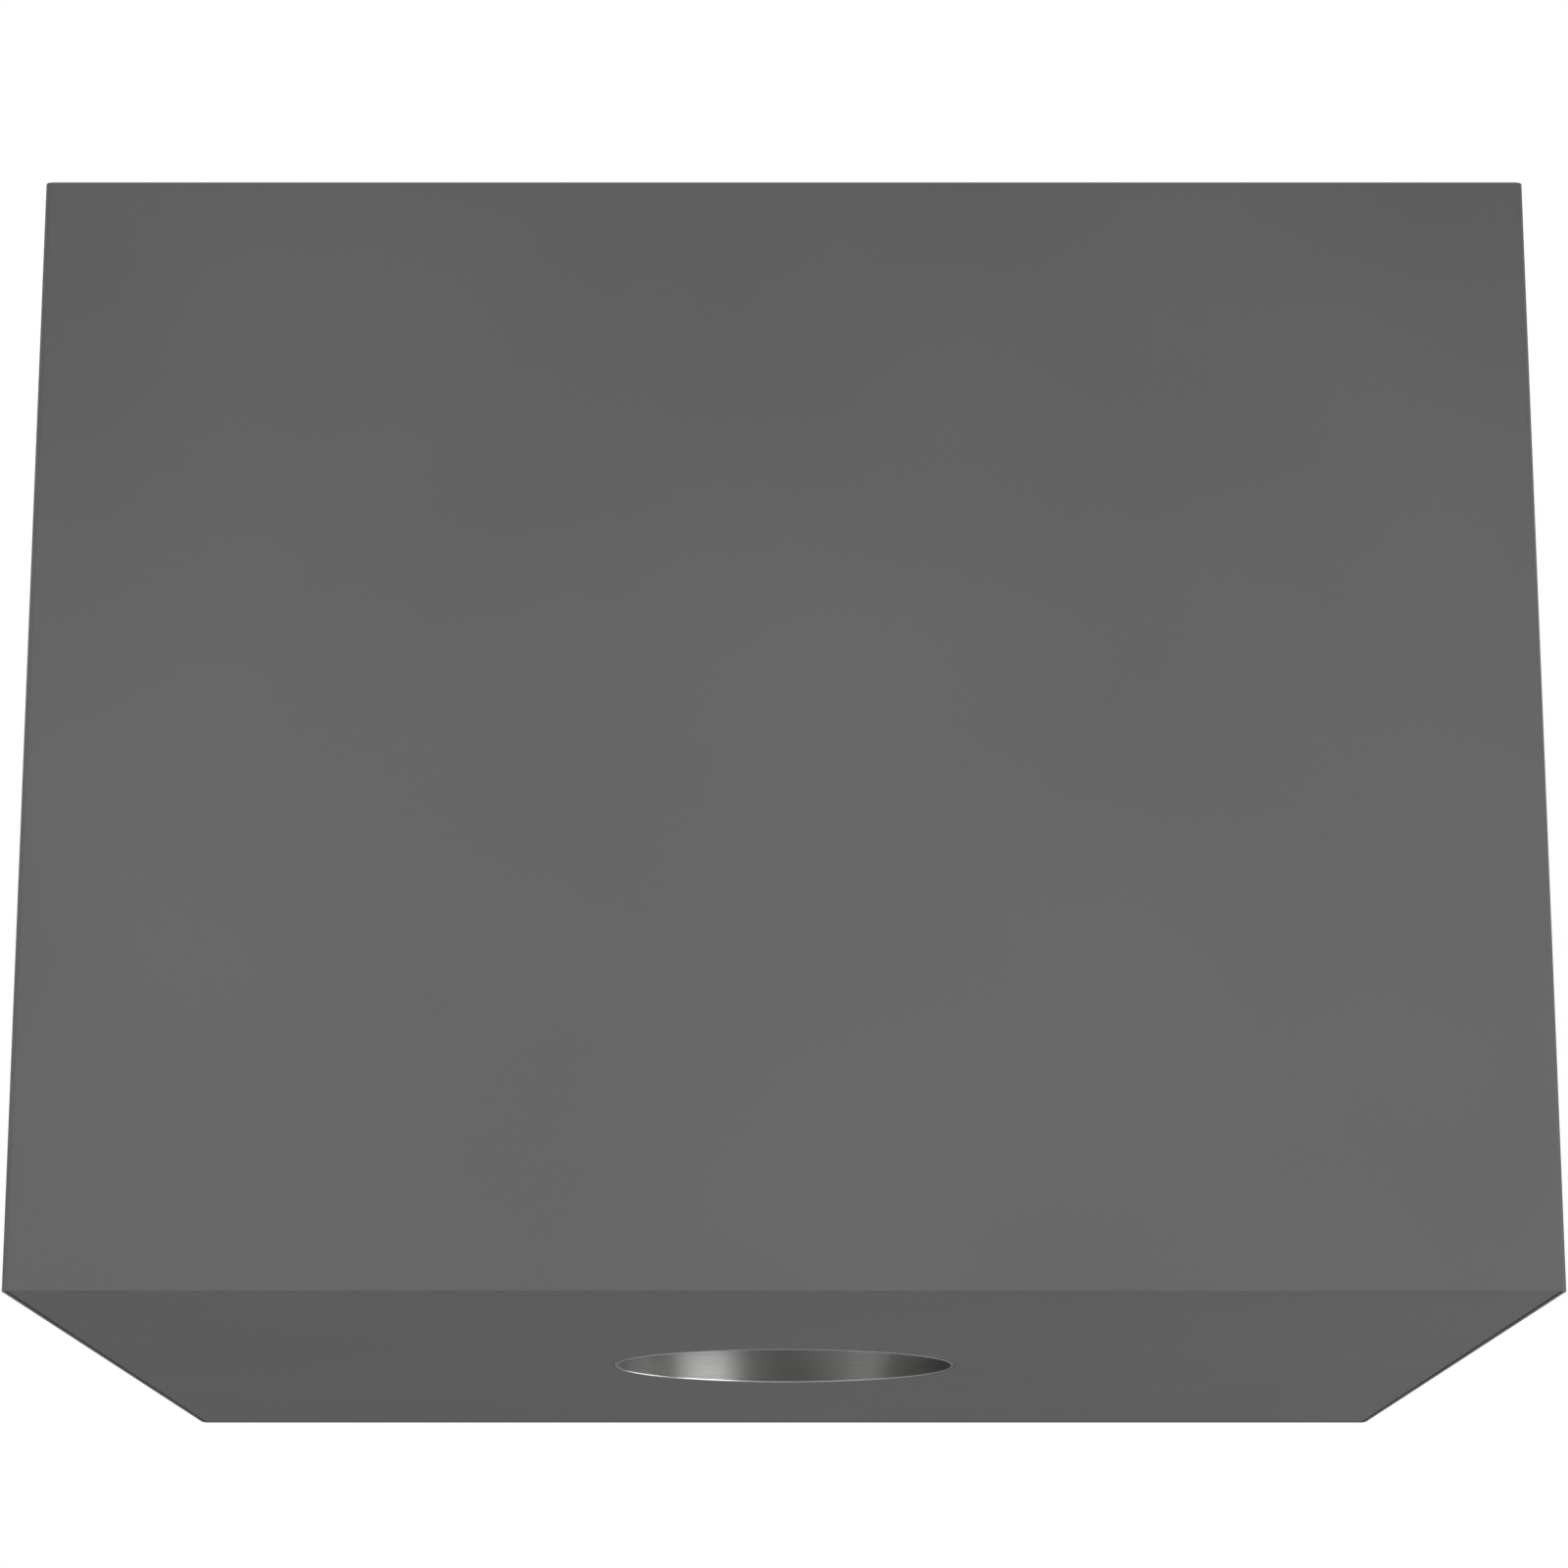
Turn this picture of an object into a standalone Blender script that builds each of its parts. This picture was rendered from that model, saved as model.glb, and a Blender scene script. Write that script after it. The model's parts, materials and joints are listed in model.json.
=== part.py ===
"""Island range hood: a folded sheet-steel box that hangs from the ceiling on two rails.

Air enters the round throat in the bottom panel, passes a grease filter and a tubular
centrifugal blower, and leaves through a back-draught damper into a round duct.
+Z is up, -Y is the show side, and the origin is the middle of the bottom face.
"""

import math

import bmesh
import bpy
from mathutils import Matrix, Vector

MM = 0.001

# ---- driving sizes ---------------------------------------------------------------------
# Casing
WIDTH = 609.6 * MM
DEPTH = 609.6 * MM
HEIGHT = 457.2 * MM  # bottom face to the top plate's upper face
SHEET = 1.5 * MM
BEND = 3.0 * MM  # outside radius of every fold
RETURN = 15.0 * MM  # rear flanges of the side walls
PAN_FLANGE = 22.0 * MM  # down-turned edge of the top plate
LEDGE = 18.0 * MM  # width of the rim that the bottom panel closes against
RIM_LEG = 18.0 * MM
RIM_SHEET = 1.2 * MM

# Clearances
GAP = 0.3 * MM  # between pieces that touch
REVEAL = 0.8 * MM  # round the bottom panel
SWING = 0.5 * MM  # between the open panel and the rear wall

# Ceiling rails
RAIL_LENGTH = 400.0 * MM
RAIL_WIDTH = 40.0 * MM
RAIL_HEIGHT = 25.0 * MM
RAIL_SHEET = 2.0 * MM
RAIL_LIP = 8.0 * MM

# Panel hinges and catches
HINGE_X = 180.0 * MM
HINGE_LENGTH = 60.0 * MM
BARREL_R = 2.2 * MM
PIN_R = 1.1 * MM
LEAF = 1.0 * MM
LEAF_REACH = 22.0 * MM
CATCH_X = 150.0 * MM
CATCH_LENGTH = 30.0 * MM
CATCH_END = 8.0 * MM  # lands on the rim at each end of the window
CATCH_DEPTH = 10.0 * MM
CATCH_HEIGHT = 9.0 * MM
STRIKE = 1.0 * MM

# Throat and filter
THROAT_R = 76.2 * MM
THROAT_WALL = 1.2 * MM
THROAT_HEIGHT = 70.0 * MM
THROAT_FLANGE_R = 95.0 * MM
THROAT_LIP_R = 90.0 * MM
STOP_BEAD = 2.0 * MM
GASKET_HEIGHT = 5.4 * MM
GASKET_WIDTH = 9.0 * MM
FILTER_Z = 24.0 * MM
FILTER_HEIGHT = 22.0 * MM
FILTER_PLAY = 0.7 * MM
FILTER_SHEET = 1.0 * MM
FILTER_FLANGE = 8.0 * MM
PAD = 4.0 * MM  # thickness of the pressed mesh pad
HANDLE_DROP = 9.0 * MM  # handle below the filter
HANDLE_LENGTH = 50.0 * MM
HANDLE_WIDTH = 12.0 * MM

# Blower
SPIGOT_R = THROAT_R + 0.8 * MM  # inside, at both ends of the blower
SHELL = 1.5 * MM
INLET_HEIGHT = 24.0 * MM
BELL_R = THROAT_R - 5.2 * MM
BELL_HEIGHT = 16.0 * MM
DRUM_R = 150.0 * MM
LOWER_HEIGHT = 75.0 * MM
UPPER_HEIGHT = 65.0 * MM
CONE_HEIGHT = 28.0 * MM
OUTLET_HEIGHT = 32.0 * MM
JOINT_RIM = 6.0 * MM
BAND = 1.5 * MM
BAND_LUG = 14.0 * MM
RING_WIDTH = 14.0 * MM
RING_SHEET = 3.0 * MM
ROD_R = 4.0 * MM
NUT_R = 7.0 * MM
NUT = 6.0 * MM
ROD_TAIL = 8.0 * MM
ROD_OUT = 25.4 * MM  # rods outside the drum
WASHER = 2.0 * MM

# Impeller and motor
IMPELLER_R = 110.0 * MM
SHROUD_R = BELL_R + 3.0 * MM
SHROUD_RISE = 18.0 * MM
BLADES = 7
BLADE = 1.6 * MM
BLADE_SWEEP = math.radians(38)
BLADE_TOP = 70.0 * MM  # back plate above the blower floor
PLATE = 1.5 * MM
CAN_R = 48.0 * MM
CAN_WALL = 2.5 * MM
CAN_HEIGHT = 39.2 * MM
AIR_GAP = 1.0 * MM
SHAFT_R = 6.0 * MM
BEARING_R = 13.0 * MM
BEARING_WIDTH = 7.0 * MM
MOTOR_FLANGE = 4.0 * MM
SPIDER_WIDTH = 16.0 * MM
SPIDER_SHEET = 3.0 * MM
SPIDER_TAB = 20.0 * MM

# Outlet
COLLAR_R = THROAT_R - 0.3 * MM  # outside, fits in a 6 in duct
COLLAR_WALL = 1.5 * MM
COLLAR_FLANGE_R = 100.0 * MM
COLLAR_ABOVE = 50.0 * MM
COLLAR_BELOW = 72.0 * MM
SLEEVE = 1.2 * MM
SLEEVE_WAVE = 4.0 * MM
SLEEVE_PITCH = 21.0 * MM
CUFF = 17.0 * MM
CLAMP = 0.9 * MM
CLAMP_WIDTH = 9.0 * MM
DAMPER_DROP = 32.0 * MM  # flap pin below the top plate
FLAP = 0.8 * MM
FLAP_PLAY = 0.5 * MM
KNUCKLE_R = 3.0 * MM
FLAP_PIN_R = 1.6 * MM

# Electrical
BOX_IN = 55.0 * MM  # middle of the terminal box in from the right wall
BOX_LENGTH = 110.0 * MM
BOX_WIDTH = 70.0 * MM
BOX_HEIGHT = 45.0 * MM
BOX_WALL = 2.0 * MM
GLAND_R = 8.0 * MM
GLAND_CAP_R = 13.0 * MM
CAPACITOR_R = 18.0 * MM
CAPACITOR_LENGTH = 70.0 * MM
CLIP_WIDTH = 20.0 * MM
KEYS = 4
KEY_PITCH = 30.0 * MM
KEY_Z = 40.0 * MM
KEY_R = 8.0 * MM
KEY_FLANGE = 1.6 * MM
KEY_TRAVEL = 2.5 * MM
KEY_STEM_R = 3.0 * MM
KEY_PLAY = 0.4 * MM
HOUSING_DEPTH = 22.0 * MM

# Facets of a full turn
ROUND, THROAT_ROUND, SMALL_ROUND = 24, 48, 12
WELD = 1e-6

# ---- sizes that follow from them -------------------------------------------------------
HALF_W, HALF_D = WIDTH / 2, DEPTH / 2
IN_X, REAR_IN = HALF_W - SHEET, HALF_D - SHEET
RETURN_Y = REAR_IN - GAP  # rear face of the side walls' flanges
LEDGE_Z = SHEET + GAP

HINGE_Z = SHEET + GAP + BARREL_R
HINGE_Y = REAR_IN - SWING - HINGE_Z
KNUCKLE = HINGE_LENGTH / 3
PANEL_REAR = HINGE_Y + SWING

HOLE_R = THROAT_R + THROAT_WALL + GAP
GASKET_Z = THROAT_HEIGHT + GAP
INLET_Z = GASKET_Z + GASKET_HEIGHT + GAP
FLOOR_Z = INLET_Z + INLET_HEIGHT
SPLIT_Z = FLOOR_Z + LOWER_HEIGHT
UPPER_Z = SPLIT_Z + GAP
SPIGOT_TOP = UPPER_Z + UPPER_HEIGHT + CONE_HEIGHT + OUTLET_HEIGHT
BAND_FOOT = SPLIT_Z - SHELL - GAP - BAND
RING_Z = BAND_FOOT - GAP - RING_SHEET
ROD_XY = (DRUM_R + ROD_OUT) / math.sqrt(2)  # also the rails' places

BACK_Z = FLOOR_Z + BLADE_TOP
CAN_Z = BACK_Z + PLATE + GAP
CAN_TOP = CAN_Z + CAN_HEIGHT
STATOR_Z, STATOR_TOP = CAN_Z + CAN_WALL + 2 * AIR_GAP, CAN_TOP + AIR_GAP
FLANGE_Z = STATOR_TOP + GAP
SPIDER_Z = FLANGE_Z + MOTOR_FLANGE + GAP

COLLAR_Z = HEIGHT - COLLAR_BELOW
COLLAR_IN = COLLAR_R - COLLAR_WALL
DAMPER_Z = HEIGHT - DAMPER_DROP
FLAP_R = COLLAR_IN - FLAP_PLAY
BOX_X = HALF_W - BOX_IN
PAN_UNDER = HEIGHT - SHEET - GAP

FINISHES = {  # colour, metallic, roughness
    "powder_coat": ((0.100, 0.100, 0.100), 0.0, 0.55),
    "stainless": ((0.62, 0.61, 0.60), 1.0, 0.25),
    "galvanised": ((0.48, 0.50, 0.51), 1.0, 0.42),
    "zinc": ((0.60, 0.60, 0.58), 1.0, 0.33),
    "aluminium": ((0.70, 0.71, 0.72), 1.0, 0.35),
    "motor_steel": ((0.12, 0.12, 0.13), 1.0, 0.50),
    "rubber": ((0.02, 0.02, 0.02), 0.0, 0.80),
    "black_plastic": ((0.03, 0.03, 0.03), 0.0, 0.45),
    "grey_plastic": ((0.30, 0.31, 0.32), 0.0, 0.50),
}


# ---- shape helpers ---------------------------------------------------------------------
def turned(profile, at=(0, 0, 0), axis="Z", segments=ROUND):
    """A (radius, height) profile turned about an axis; it closes unless it ends on the axis."""
    bm = bmesh.new()
    points = [bm.verts.new((r, 0, z)) for r, z in profile]
    open_ended = profile[0][0] == 0 and profile[-1][0] == 0
    edges = [bm.edges.new((points[i - 1], points[i])) for i in range(int(open_ended), len(points))]
    bmesh.ops.spin(
        bm, geom=points + edges, axis=(0, 0, 1), angle=2 * math.pi, steps=segments, use_merge=True
    )
    bmesh.ops.remove_doubles(bm, verts=bm.verts, dist=WELD)
    stand = {
        "X": Matrix.Rotation(math.pi / 2, 4, "Y"),
        "Y": Matrix.Rotation(-math.pi / 2, 4, "X"),
        "Z": Matrix.Identity(4),
    }[axis]
    bm.transform(Matrix.Translation(at) @ stand)
    bmesh.ops.recalc_face_normals(bm, faces=bm.faces)
    return bm


def rod(radius, low, high, at=(0, 0, 0), axis="Z", segments=SMALL_ROUND):
    """Cylinder from low to high along an axis through a point."""
    return turned([(0, low), (radius, low), (radius, high), (0, high)], at, axis, segments)


def tube(inner, outer, low, high, at=(0, 0, 0), axis="Z", segments=ROUND):
    profile = [(inner, low), (outer, low), (outer, high), (inner, high)]
    return turned(profile, at, axis, segments)


def prism(outline, low, high, along="Z"):
    """Flat outline, given in the other two axes in X, Y, Z order, extruded along one."""
    place = {
        "X": lambda u, v, w: (w, u, v),
        "Y": lambda u, v, w: (u, w, v),
        "Z": lambda u, v, w: (u, v, w),
    }[along]
    bm = bmesh.new()
    face = bm.faces.new([bm.verts.new(place(u, v, low)) for u, v in outline])
    grown = bmesh.ops.extrude_face_region(bm, geom=[face])["geom"]
    far = [item for item in grown if isinstance(item, bmesh.types.BMVert)]
    bmesh.ops.translate(bm, verts=far, vec=place(0, 0, high - low))
    bmesh.ops.recalc_face_normals(bm, faces=bm.faces)
    return bm


def block(low, high):
    (x0, y0, z0), (x1, y1, z1) = low, high
    return prism([(x0, y0), (x1, y0), (x1, y1), (x0, y1)], z0, z1)


def rounded_plate(x0, y0, x1, y1, radius, steps=3):
    """Outline of a rectangle with rounded corners."""
    centres = [
        (x1 - radius, y1 - radius),
        (x0 + radius, y1 - radius),
        (x0 + radius, y0 + radius),
        (x1 - radius, y0 + radius),
    ]
    outline = []
    for corner, (cx, cy) in enumerate(centres):
        for step in range(steps + 1):
            angle = (corner + step / steps) * math.pi / 2
            outline.append((cx + radius * math.cos(angle), cy + radius * math.sin(angle)))
    return outline


def filleted(points, radii, steps):
    """The open line through points, with each inner corner rounded."""
    line = [points[0]]
    for before, corner, after, radius in zip(points, points[1:], points[2:], radii):
        back, on = (before - corner).normalized(), (after - corner).normalized()
        half = back.angle(on) / 2
        centre = corner + (back + on).normalized() * radius / math.sin(half)
        start = (corner + back * radius / math.tan(half) - centre).normalized()
        end = (corner + on * radius / math.tan(half) - centre).normalized()
        line += [centre + radius * start.slerp(end, step / steps) for step in range(steps + 1)]
    return line + [points[-1]]


def folded(line, thickness, bend, steps=3):
    """Outline of a sheet folded along a line; the sheet lies to the left of the line."""
    points = [Vector(point) for point in line]
    ways = [(b - a).normalized() for a, b in zip(points, points[1:])]
    lefts = [Vector((-way.y, way.x)) for way in ways]
    other = [points[0] + lefts[0] * thickness]
    line_radii, other_radii = [], []
    for corner, one, two, left, right in zip(points[1:], lefts, lefts[1:], ways, ways[1:]):
        other.append(corner + (one + two) * thickness / (1 + one.dot(two)))
        radii = (bend, bend - thickness)
        inwards = left.x * right.y - left.y * right.x > 0
        line_radii.append(radii[0] if inwards else radii[1])
        other_radii.append(radii[1] if inwards else radii[0])
    other.append(points[-1] + lefts[-1] * thickness)
    return filleted(points, line_radii, steps) + filleted(other, other_radii, steps)[::-1]


def combined(body, others, operation):
    """Boolean of a body with others, each a bmesh; all of them are used up."""
    helpers = []
    for bm in [body, *others]:
        mesh = bpy.data.meshes.new("helper")
        bm.to_mesh(mesh)
        bm.free()
        helpers.append(bpy.data.objects.new("helper", mesh))
        bpy.context.collection.objects.link(helpers[-1])
    target = helpers[0]
    for other in helpers[1:]:
        modifier = target.modifiers.new(operation, "BOOLEAN")
        modifier.operation, modifier.solver, modifier.object = operation, "EXACT", other
    shaped = target.evaluated_get(bpy.context.evaluated_depsgraph_get())
    result = bmesh.new()
    result.from_mesh(shaped.to_mesh())
    for helper in helpers:
        mesh = helper.data
        bpy.data.objects.remove(helper)
        bpy.data.meshes.remove(mesh)
    return result


def joined(body, *others):
    return combined(body, others, "UNION")


def carved(body, *cutters):
    return combined(body, cutters, "DIFFERENCE")


# ---- objects ---------------------------------------------------------------------------
def part(name, bm, finish, rides_on=None):
    """Makes one named piece with its own material; rides_on is the axis it moves with."""
    mesh = bpy.data.meshes.new(name)
    bm.to_mesh(mesh)
    bm.free()
    mesh.shade_smooth()
    mesh.set_sharp_from_angle(angle=math.radians(35))
    colour, metallic, roughness = FINISHES[finish]
    material = bpy.data.materials.new(f"{name}_{finish}")
    material.use_nodes = True
    shader = material.node_tree.nodes["Principled BSDF"]
    shader.inputs["Base Color"].default_value = (*colour, 1)
    shader.inputs["Metallic"].default_value = metallic
    shader.inputs["Roughness"].default_value = roughness
    mesh.materials.append(material)
    piece = bpy.data.objects.new(name, mesh)
    bpy.context.collection.objects.link(piece)
    if rides_on:
        piece.parent = rides_on
        piece.matrix_parent_inverse = Matrix.Translation(-rides_on.location)
    return piece


def joint_axis(name, place):
    """Empty on a joint's axis, for the pieces that move about it."""
    empty = bpy.data.objects.new(name, None)
    empty.location = place
    empty.empty_display_size = 0.03
    bpy.context.collection.objects.link(empty)
    return empty


# ---- casing ----------------------------------------------------------------------------
def canopy_wrap():
    """Front and side walls, one folded sheet with flanges that the rear panel screws to."""
    line = [
        (RETURN - HALF_W, RETURN_Y),
        (-HALF_W, RETURN_Y),
        (-HALF_W, -HALF_D),
        (HALF_W, -HALF_D),
        (HALF_W, RETURN_Y),
        (HALF_W - RETURN, RETURN_Y),
    ]
    clear = 2.5 * HINGE_Z  # the open panel's rear edge swings up in front of the rear wall
    notches = []
    for side in (-1, 1):
        near, far = sorted((side * (HALF_W - RETURN - SHEET), side * (IN_X - GAP / 3)))
        notches.append(block((near, RETURN_Y - 3 * SHEET, -SHEET), (far, HALF_D, clear)))
    shell = prism(folded(line, SHEET, BEND), 0, HEIGHT)
    part("canopy_wrap", carved(shell, *notches), "powder_coat")


def key_places():
    return [(index - (KEYS - 1) / 2) * KEY_PITCH for index in range(KEYS)]


def rear_panel():
    """Rear wall, over the side walls' rear edges, with a round hole for each key."""
    holes = [
        rod(KEY_R + KEY_PLAY, REAR_IN - SHEET, HALF_D + SHEET, (x, 0, KEY_Z), "Y")
        for x in key_places()
    ]
    wall = block((-HALF_W, REAR_IN, 0), (HALF_W, HALF_D, HEIGHT))
    part("rear_panel", carved(wall, *holes), "powder_coat")


def rod_places():
    return [(x * ROD_XY, y * ROD_XY) for x in (-1, 1) for y in (-1, 1)]


def top_plate():
    """Shallow pan inside the walls, with holes for the collar, the rods and the gland."""
    side, front, rear = IN_X - GAP, GAP - REAR_IN, RETURN_Y - SHEET - GAP
    pan = prism(rounded_plate(-side, front, side, rear, BEND), HEIGHT - PAN_FLANGE, HEIGHT)
    inside = rounded_plate(
        SHEET - side, front + SHEET, side - SHEET, rear - SHEET, BEND - SHEET
    )
    cutters = [prism(inside, HEIGHT - 2 * PAN_FLANGE, HEIGHT - SHEET)]
    reach = (HEIGHT - 2 * SHEET, HEIGHT + SHEET)
    cutters.append(rod(COLLAR_R + REVEAL, *reach, segments=ROUND))
    cutters.append(rod(GLAND_R + GAP, *reach, at=(BOX_X, 0, 0)))
    cutters += [rod(ROD_R + GAP, *reach, at=(x, y, 0), segments=8) for x, y in rod_places()]
    part("top_plate", carved(pan, *cutters), "powder_coat")


def rims():
    """Angles that the bottom panel closes against; the front one has windows for the strikes."""
    wall = REAR_IN - GAP
    angle = folded(
        [(-wall, RIM_LEG), (-wall, LEDGE_Z), (LEDGE - wall, LEDGE_Z)], RIM_SHEET, 2 * RIM_SHEET
    )
    end = IN_X - BEND
    windows = [
        block(
            (x - CATCH_LENGTH / 2 - REVEAL, catch_y() - REVEAL, 0),
            (x + CATCH_LENGTH / 2 + REVEAL, catch_y() + CATCH_DEPTH + REVEAL, 2 * LEDGE_Z),
        )
        for x in (-CATCH_X, CATCH_X)
    ]
    part("rim_front", carved(prism(angle, -end, end, "X"), *windows), "galvanised")
    start, stop = LEDGE - wall + GAP, HINGE_Y - 3 * BARREL_R
    side = GAP - IN_X
    left = folded([(side, RIM_LEG), (side, LEDGE_Z), (side + LEDGE, LEDGE_Z)], RIM_SHEET, 2 * RIM_SHEET)
    part("rim_left", prism(left, start, stop, "Y"), "galvanised")
    right = [(-x, z) for x, z in left]
    part("rim_right", prism(right, start, stop, "Y"), "galvanised")


def ceiling_rails():
    """Lipped channels whose closed side is the face that meets the ceiling."""
    half, foot, top = RAIL_WIDTH / 2, HEIGHT + GAP, HEIGHT + RAIL_HEIGHT
    lip = half - RAIL_LIP
    line = [(lip, foot), (half, foot), (half, top), (-half, top), (-half, foot), (-lip, foot)]
    channel = folded(line, RAIL_SHEET, 1.5 * RAIL_SHEET)
    for name, x in (("mounting_rail_left", -ROD_XY), ("mounting_rail_right", ROD_XY)):
        outline = [(x + u, v) for u, v in channel]
        part(name, prism(outline, -RAIL_LENGTH / 2, RAIL_LENGTH / 2, "Y"), "galvanised")


# ---- hinges and catches ----------------------------------------------------------------
def knuckle(x, low, high):
    return rod(BARREL_R, low, high, (x, HINGE_Y, HINGE_Z), "X")


def hinge(side, x, panel_axis):
    """One hinge: the fixed leaf folds up the rear wall, the other lies on the panel."""
    bore = rod(PIN_R + GAP, -HINGE_LENGTH, HINGE_LENGTH, (x, HINGE_Y, HINGE_Z), "X")
    ends = ((-HINGE_LENGTH / 2, -KNUCKLE / 2), (KNUCKLE / 2, HINGE_LENGTH / 2))
    under = HINGE_Z + BARREL_R - LEAF - GAP / 2
    line = [(HINGE_Y, under), (RETURN_Y, under), (RETURN_Y, HINGE_Z + LEAF_REACH)]
    fold = folded(line, LEAF, 1.3 * LEAF)
    leaf = prism(fold, x - HINGE_LENGTH / 2, x + HINGE_LENGTH / 2, "X")
    slot = block(
        (x - KNUCKLE / 2, HINGE_Y - BARREL_R, HINGE_Z - BARREL_R),
        (x + KNUCKLE / 2, HINGE_Y + BARREL_R + SWING, HINGE_Z + 2 * BARREL_R),
    )
    solid = joined(carved(leaf, slot), *[knuckle(x, *end) for end in ends])
    part(f"hinge_fixed_leaf_{side}", carved(solid, bore), "zinc")

    half = KNUCKLE / 2 - GAP
    tongue = block(
        (x - half, HINGE_Y - 2 * BARREL_R, LEDGE_Z), (x + half, HINGE_Y - BARREL_R / 3, LEDGE_Z + LEAF)
    )
    plate = block(
        (x - HINGE_LENGTH / 2, HINGE_Y - LEAF_REACH, LEDGE_Z),
        (x + HINGE_LENGTH / 2, HINGE_Y - BARREL_R - SWING, LEDGE_Z + LEAF),
    )
    bore = rod(PIN_R + GAP, -HINGE_LENGTH, HINGE_LENGTH, (x, HINGE_Y, HINGE_Z), "X")
    solid = joined(plate, tongue, knuckle(x, -half, half))
    part(f"hinge_panel_leaf_{side}", carved(solid, bore), "zinc", panel_axis)

    reach, head = HINGE_LENGTH / 2 + GAP, 0.8 * BARREL_R
    profile = [
        (0, -reach - LEAF), (head, -reach - LEAF), (head, -reach), (PIN_R, -reach),
        (PIN_R, reach), (head, reach), (head, reach + LEAF), (0, reach + LEAF),
    ]
    part(f"hinge_pin_{side}", turned(profile, (x, HINGE_Y, HINGE_Z), "X", SMALL_ROUND), "zinc")


def catch_y():
    """Front edge of the magnets, just behind the front rim's upright leg."""
    return -REAR_IN + GAP + RIM_SHEET + GAP + 2 * RIM_SHEET


def catches(panel_axis):
    for side, x in (("left", -CATCH_X), ("right", CATCH_X)):
        low, high = x - CATCH_LENGTH / 2, x + CATCH_LENGTH / 2
        y, foot = catch_y(), LEDGE_Z + RIM_SHEET + GAP
        magnet = block(
            (low - CATCH_END, y, foot), (high + CATCH_END, y + CATCH_DEPTH, foot + CATCH_HEIGHT)
        )
        part(f"magnet_catch_{side}", magnet, "black_plastic")
        strike = block((low, y, LEDGE_Z), (high, y + CATCH_DEPTH, LEDGE_Z + STRIKE))
        part(f"strike_plate_{side}", strike, "zinc", panel_axis)


# ---- bottom panel, throat and filter ---------------------------------------------------
def bottom_panel(axis):
    side, front = IN_X - REVEAL, REVEAL - REAR_IN
    sheet = block((-side, front, 0), (side, PANEL_REAR, SHEET))
    hole = rod(HOLE_R, -SHEET, 2 * SHEET, segments=THROAT_ROUND)
    part("bottom_panel", carved(sheet, hole), "powder_coat", axis)


def throat_ring(axis):
    """Bright lining of the intake: flanged on the panel and under the blower."""
    outer, wall, top = THROAT_R + THROAT_WALL, THROAT_WALL, THROAT_HEIGHT
    bead = FILTER_Z + FILTER_HEIGHT + GAP
    profile = [
        (THROAT_R + wall / 2, 0), (THROAT_R, wall / 2),
        (THROAT_R, bead), (THROAT_R - STOP_BEAD, bead + STOP_BEAD / 2),
        (THROAT_R, bead + STOP_BEAD),
        (THROAT_R, top), (THROAT_LIP_R, top), (THROAT_LIP_R, top - wall), (outer, top - wall),
        (outer, LEDGE_Z + wall), (THROAT_FLANGE_R, LEDGE_Z + wall), (THROAT_FLANGE_R, LEDGE_Z),
        (outer, LEDGE_Z), (outer, 0),
    ]
    part("throat_ring", turned(profile, segments=THROAT_ROUND), "stainless", axis)
    inner = THROAT_R + THROAT_WALL
    gasket = tube(inner, inner + GASKET_WIDTH, GASKET_Z, GASKET_Z + GASKET_HEIGHT)
    part("throat_gasket", gasket, "rubber", axis)


def filter_cartridge(axis):
    """Grease filter: a round channel frame, its mesh pad, and a strap handle below."""
    outer, sheet = THROAT_R - FILTER_PLAY, FILTER_SHEET
    foot, top, lip = FILTER_Z, FILTER_Z + FILTER_HEIGHT, outer - FILTER_FLANGE
    profile = [
        (lip, foot), (outer, foot), (outer, top), (lip, top),
        (lip, top - sheet), (outer - sheet, top - sheet), (outer - sheet, foot + sheet),
        (lip, foot + sheet),
    ]
    part("filter_frame", turned(profile), "aluminium", axis)
    middle = (foot + top) / 2
    pad = rod(outer - sheet - GAP, middle - PAD / 2, middle + PAD / 2, segments=ROUND)
    part("filter_mesh", pad, "aluminium", axis)
    end, half, under = outer - GAP, HANDLE_LENGTH / 2, foot - GAP
    low = under - HANDLE_DROP
    line = [(-end, under), (-half, under), (-half, low), (half, low), (half, under), (end, under)]
    strap = prism(folded(line[::-1], sheet, 2.5 * sheet), -HANDLE_WIDTH / 2, HANDLE_WIDTH / 2, "Y")
    part("filter_handle", strap, "stainless", axis)


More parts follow.
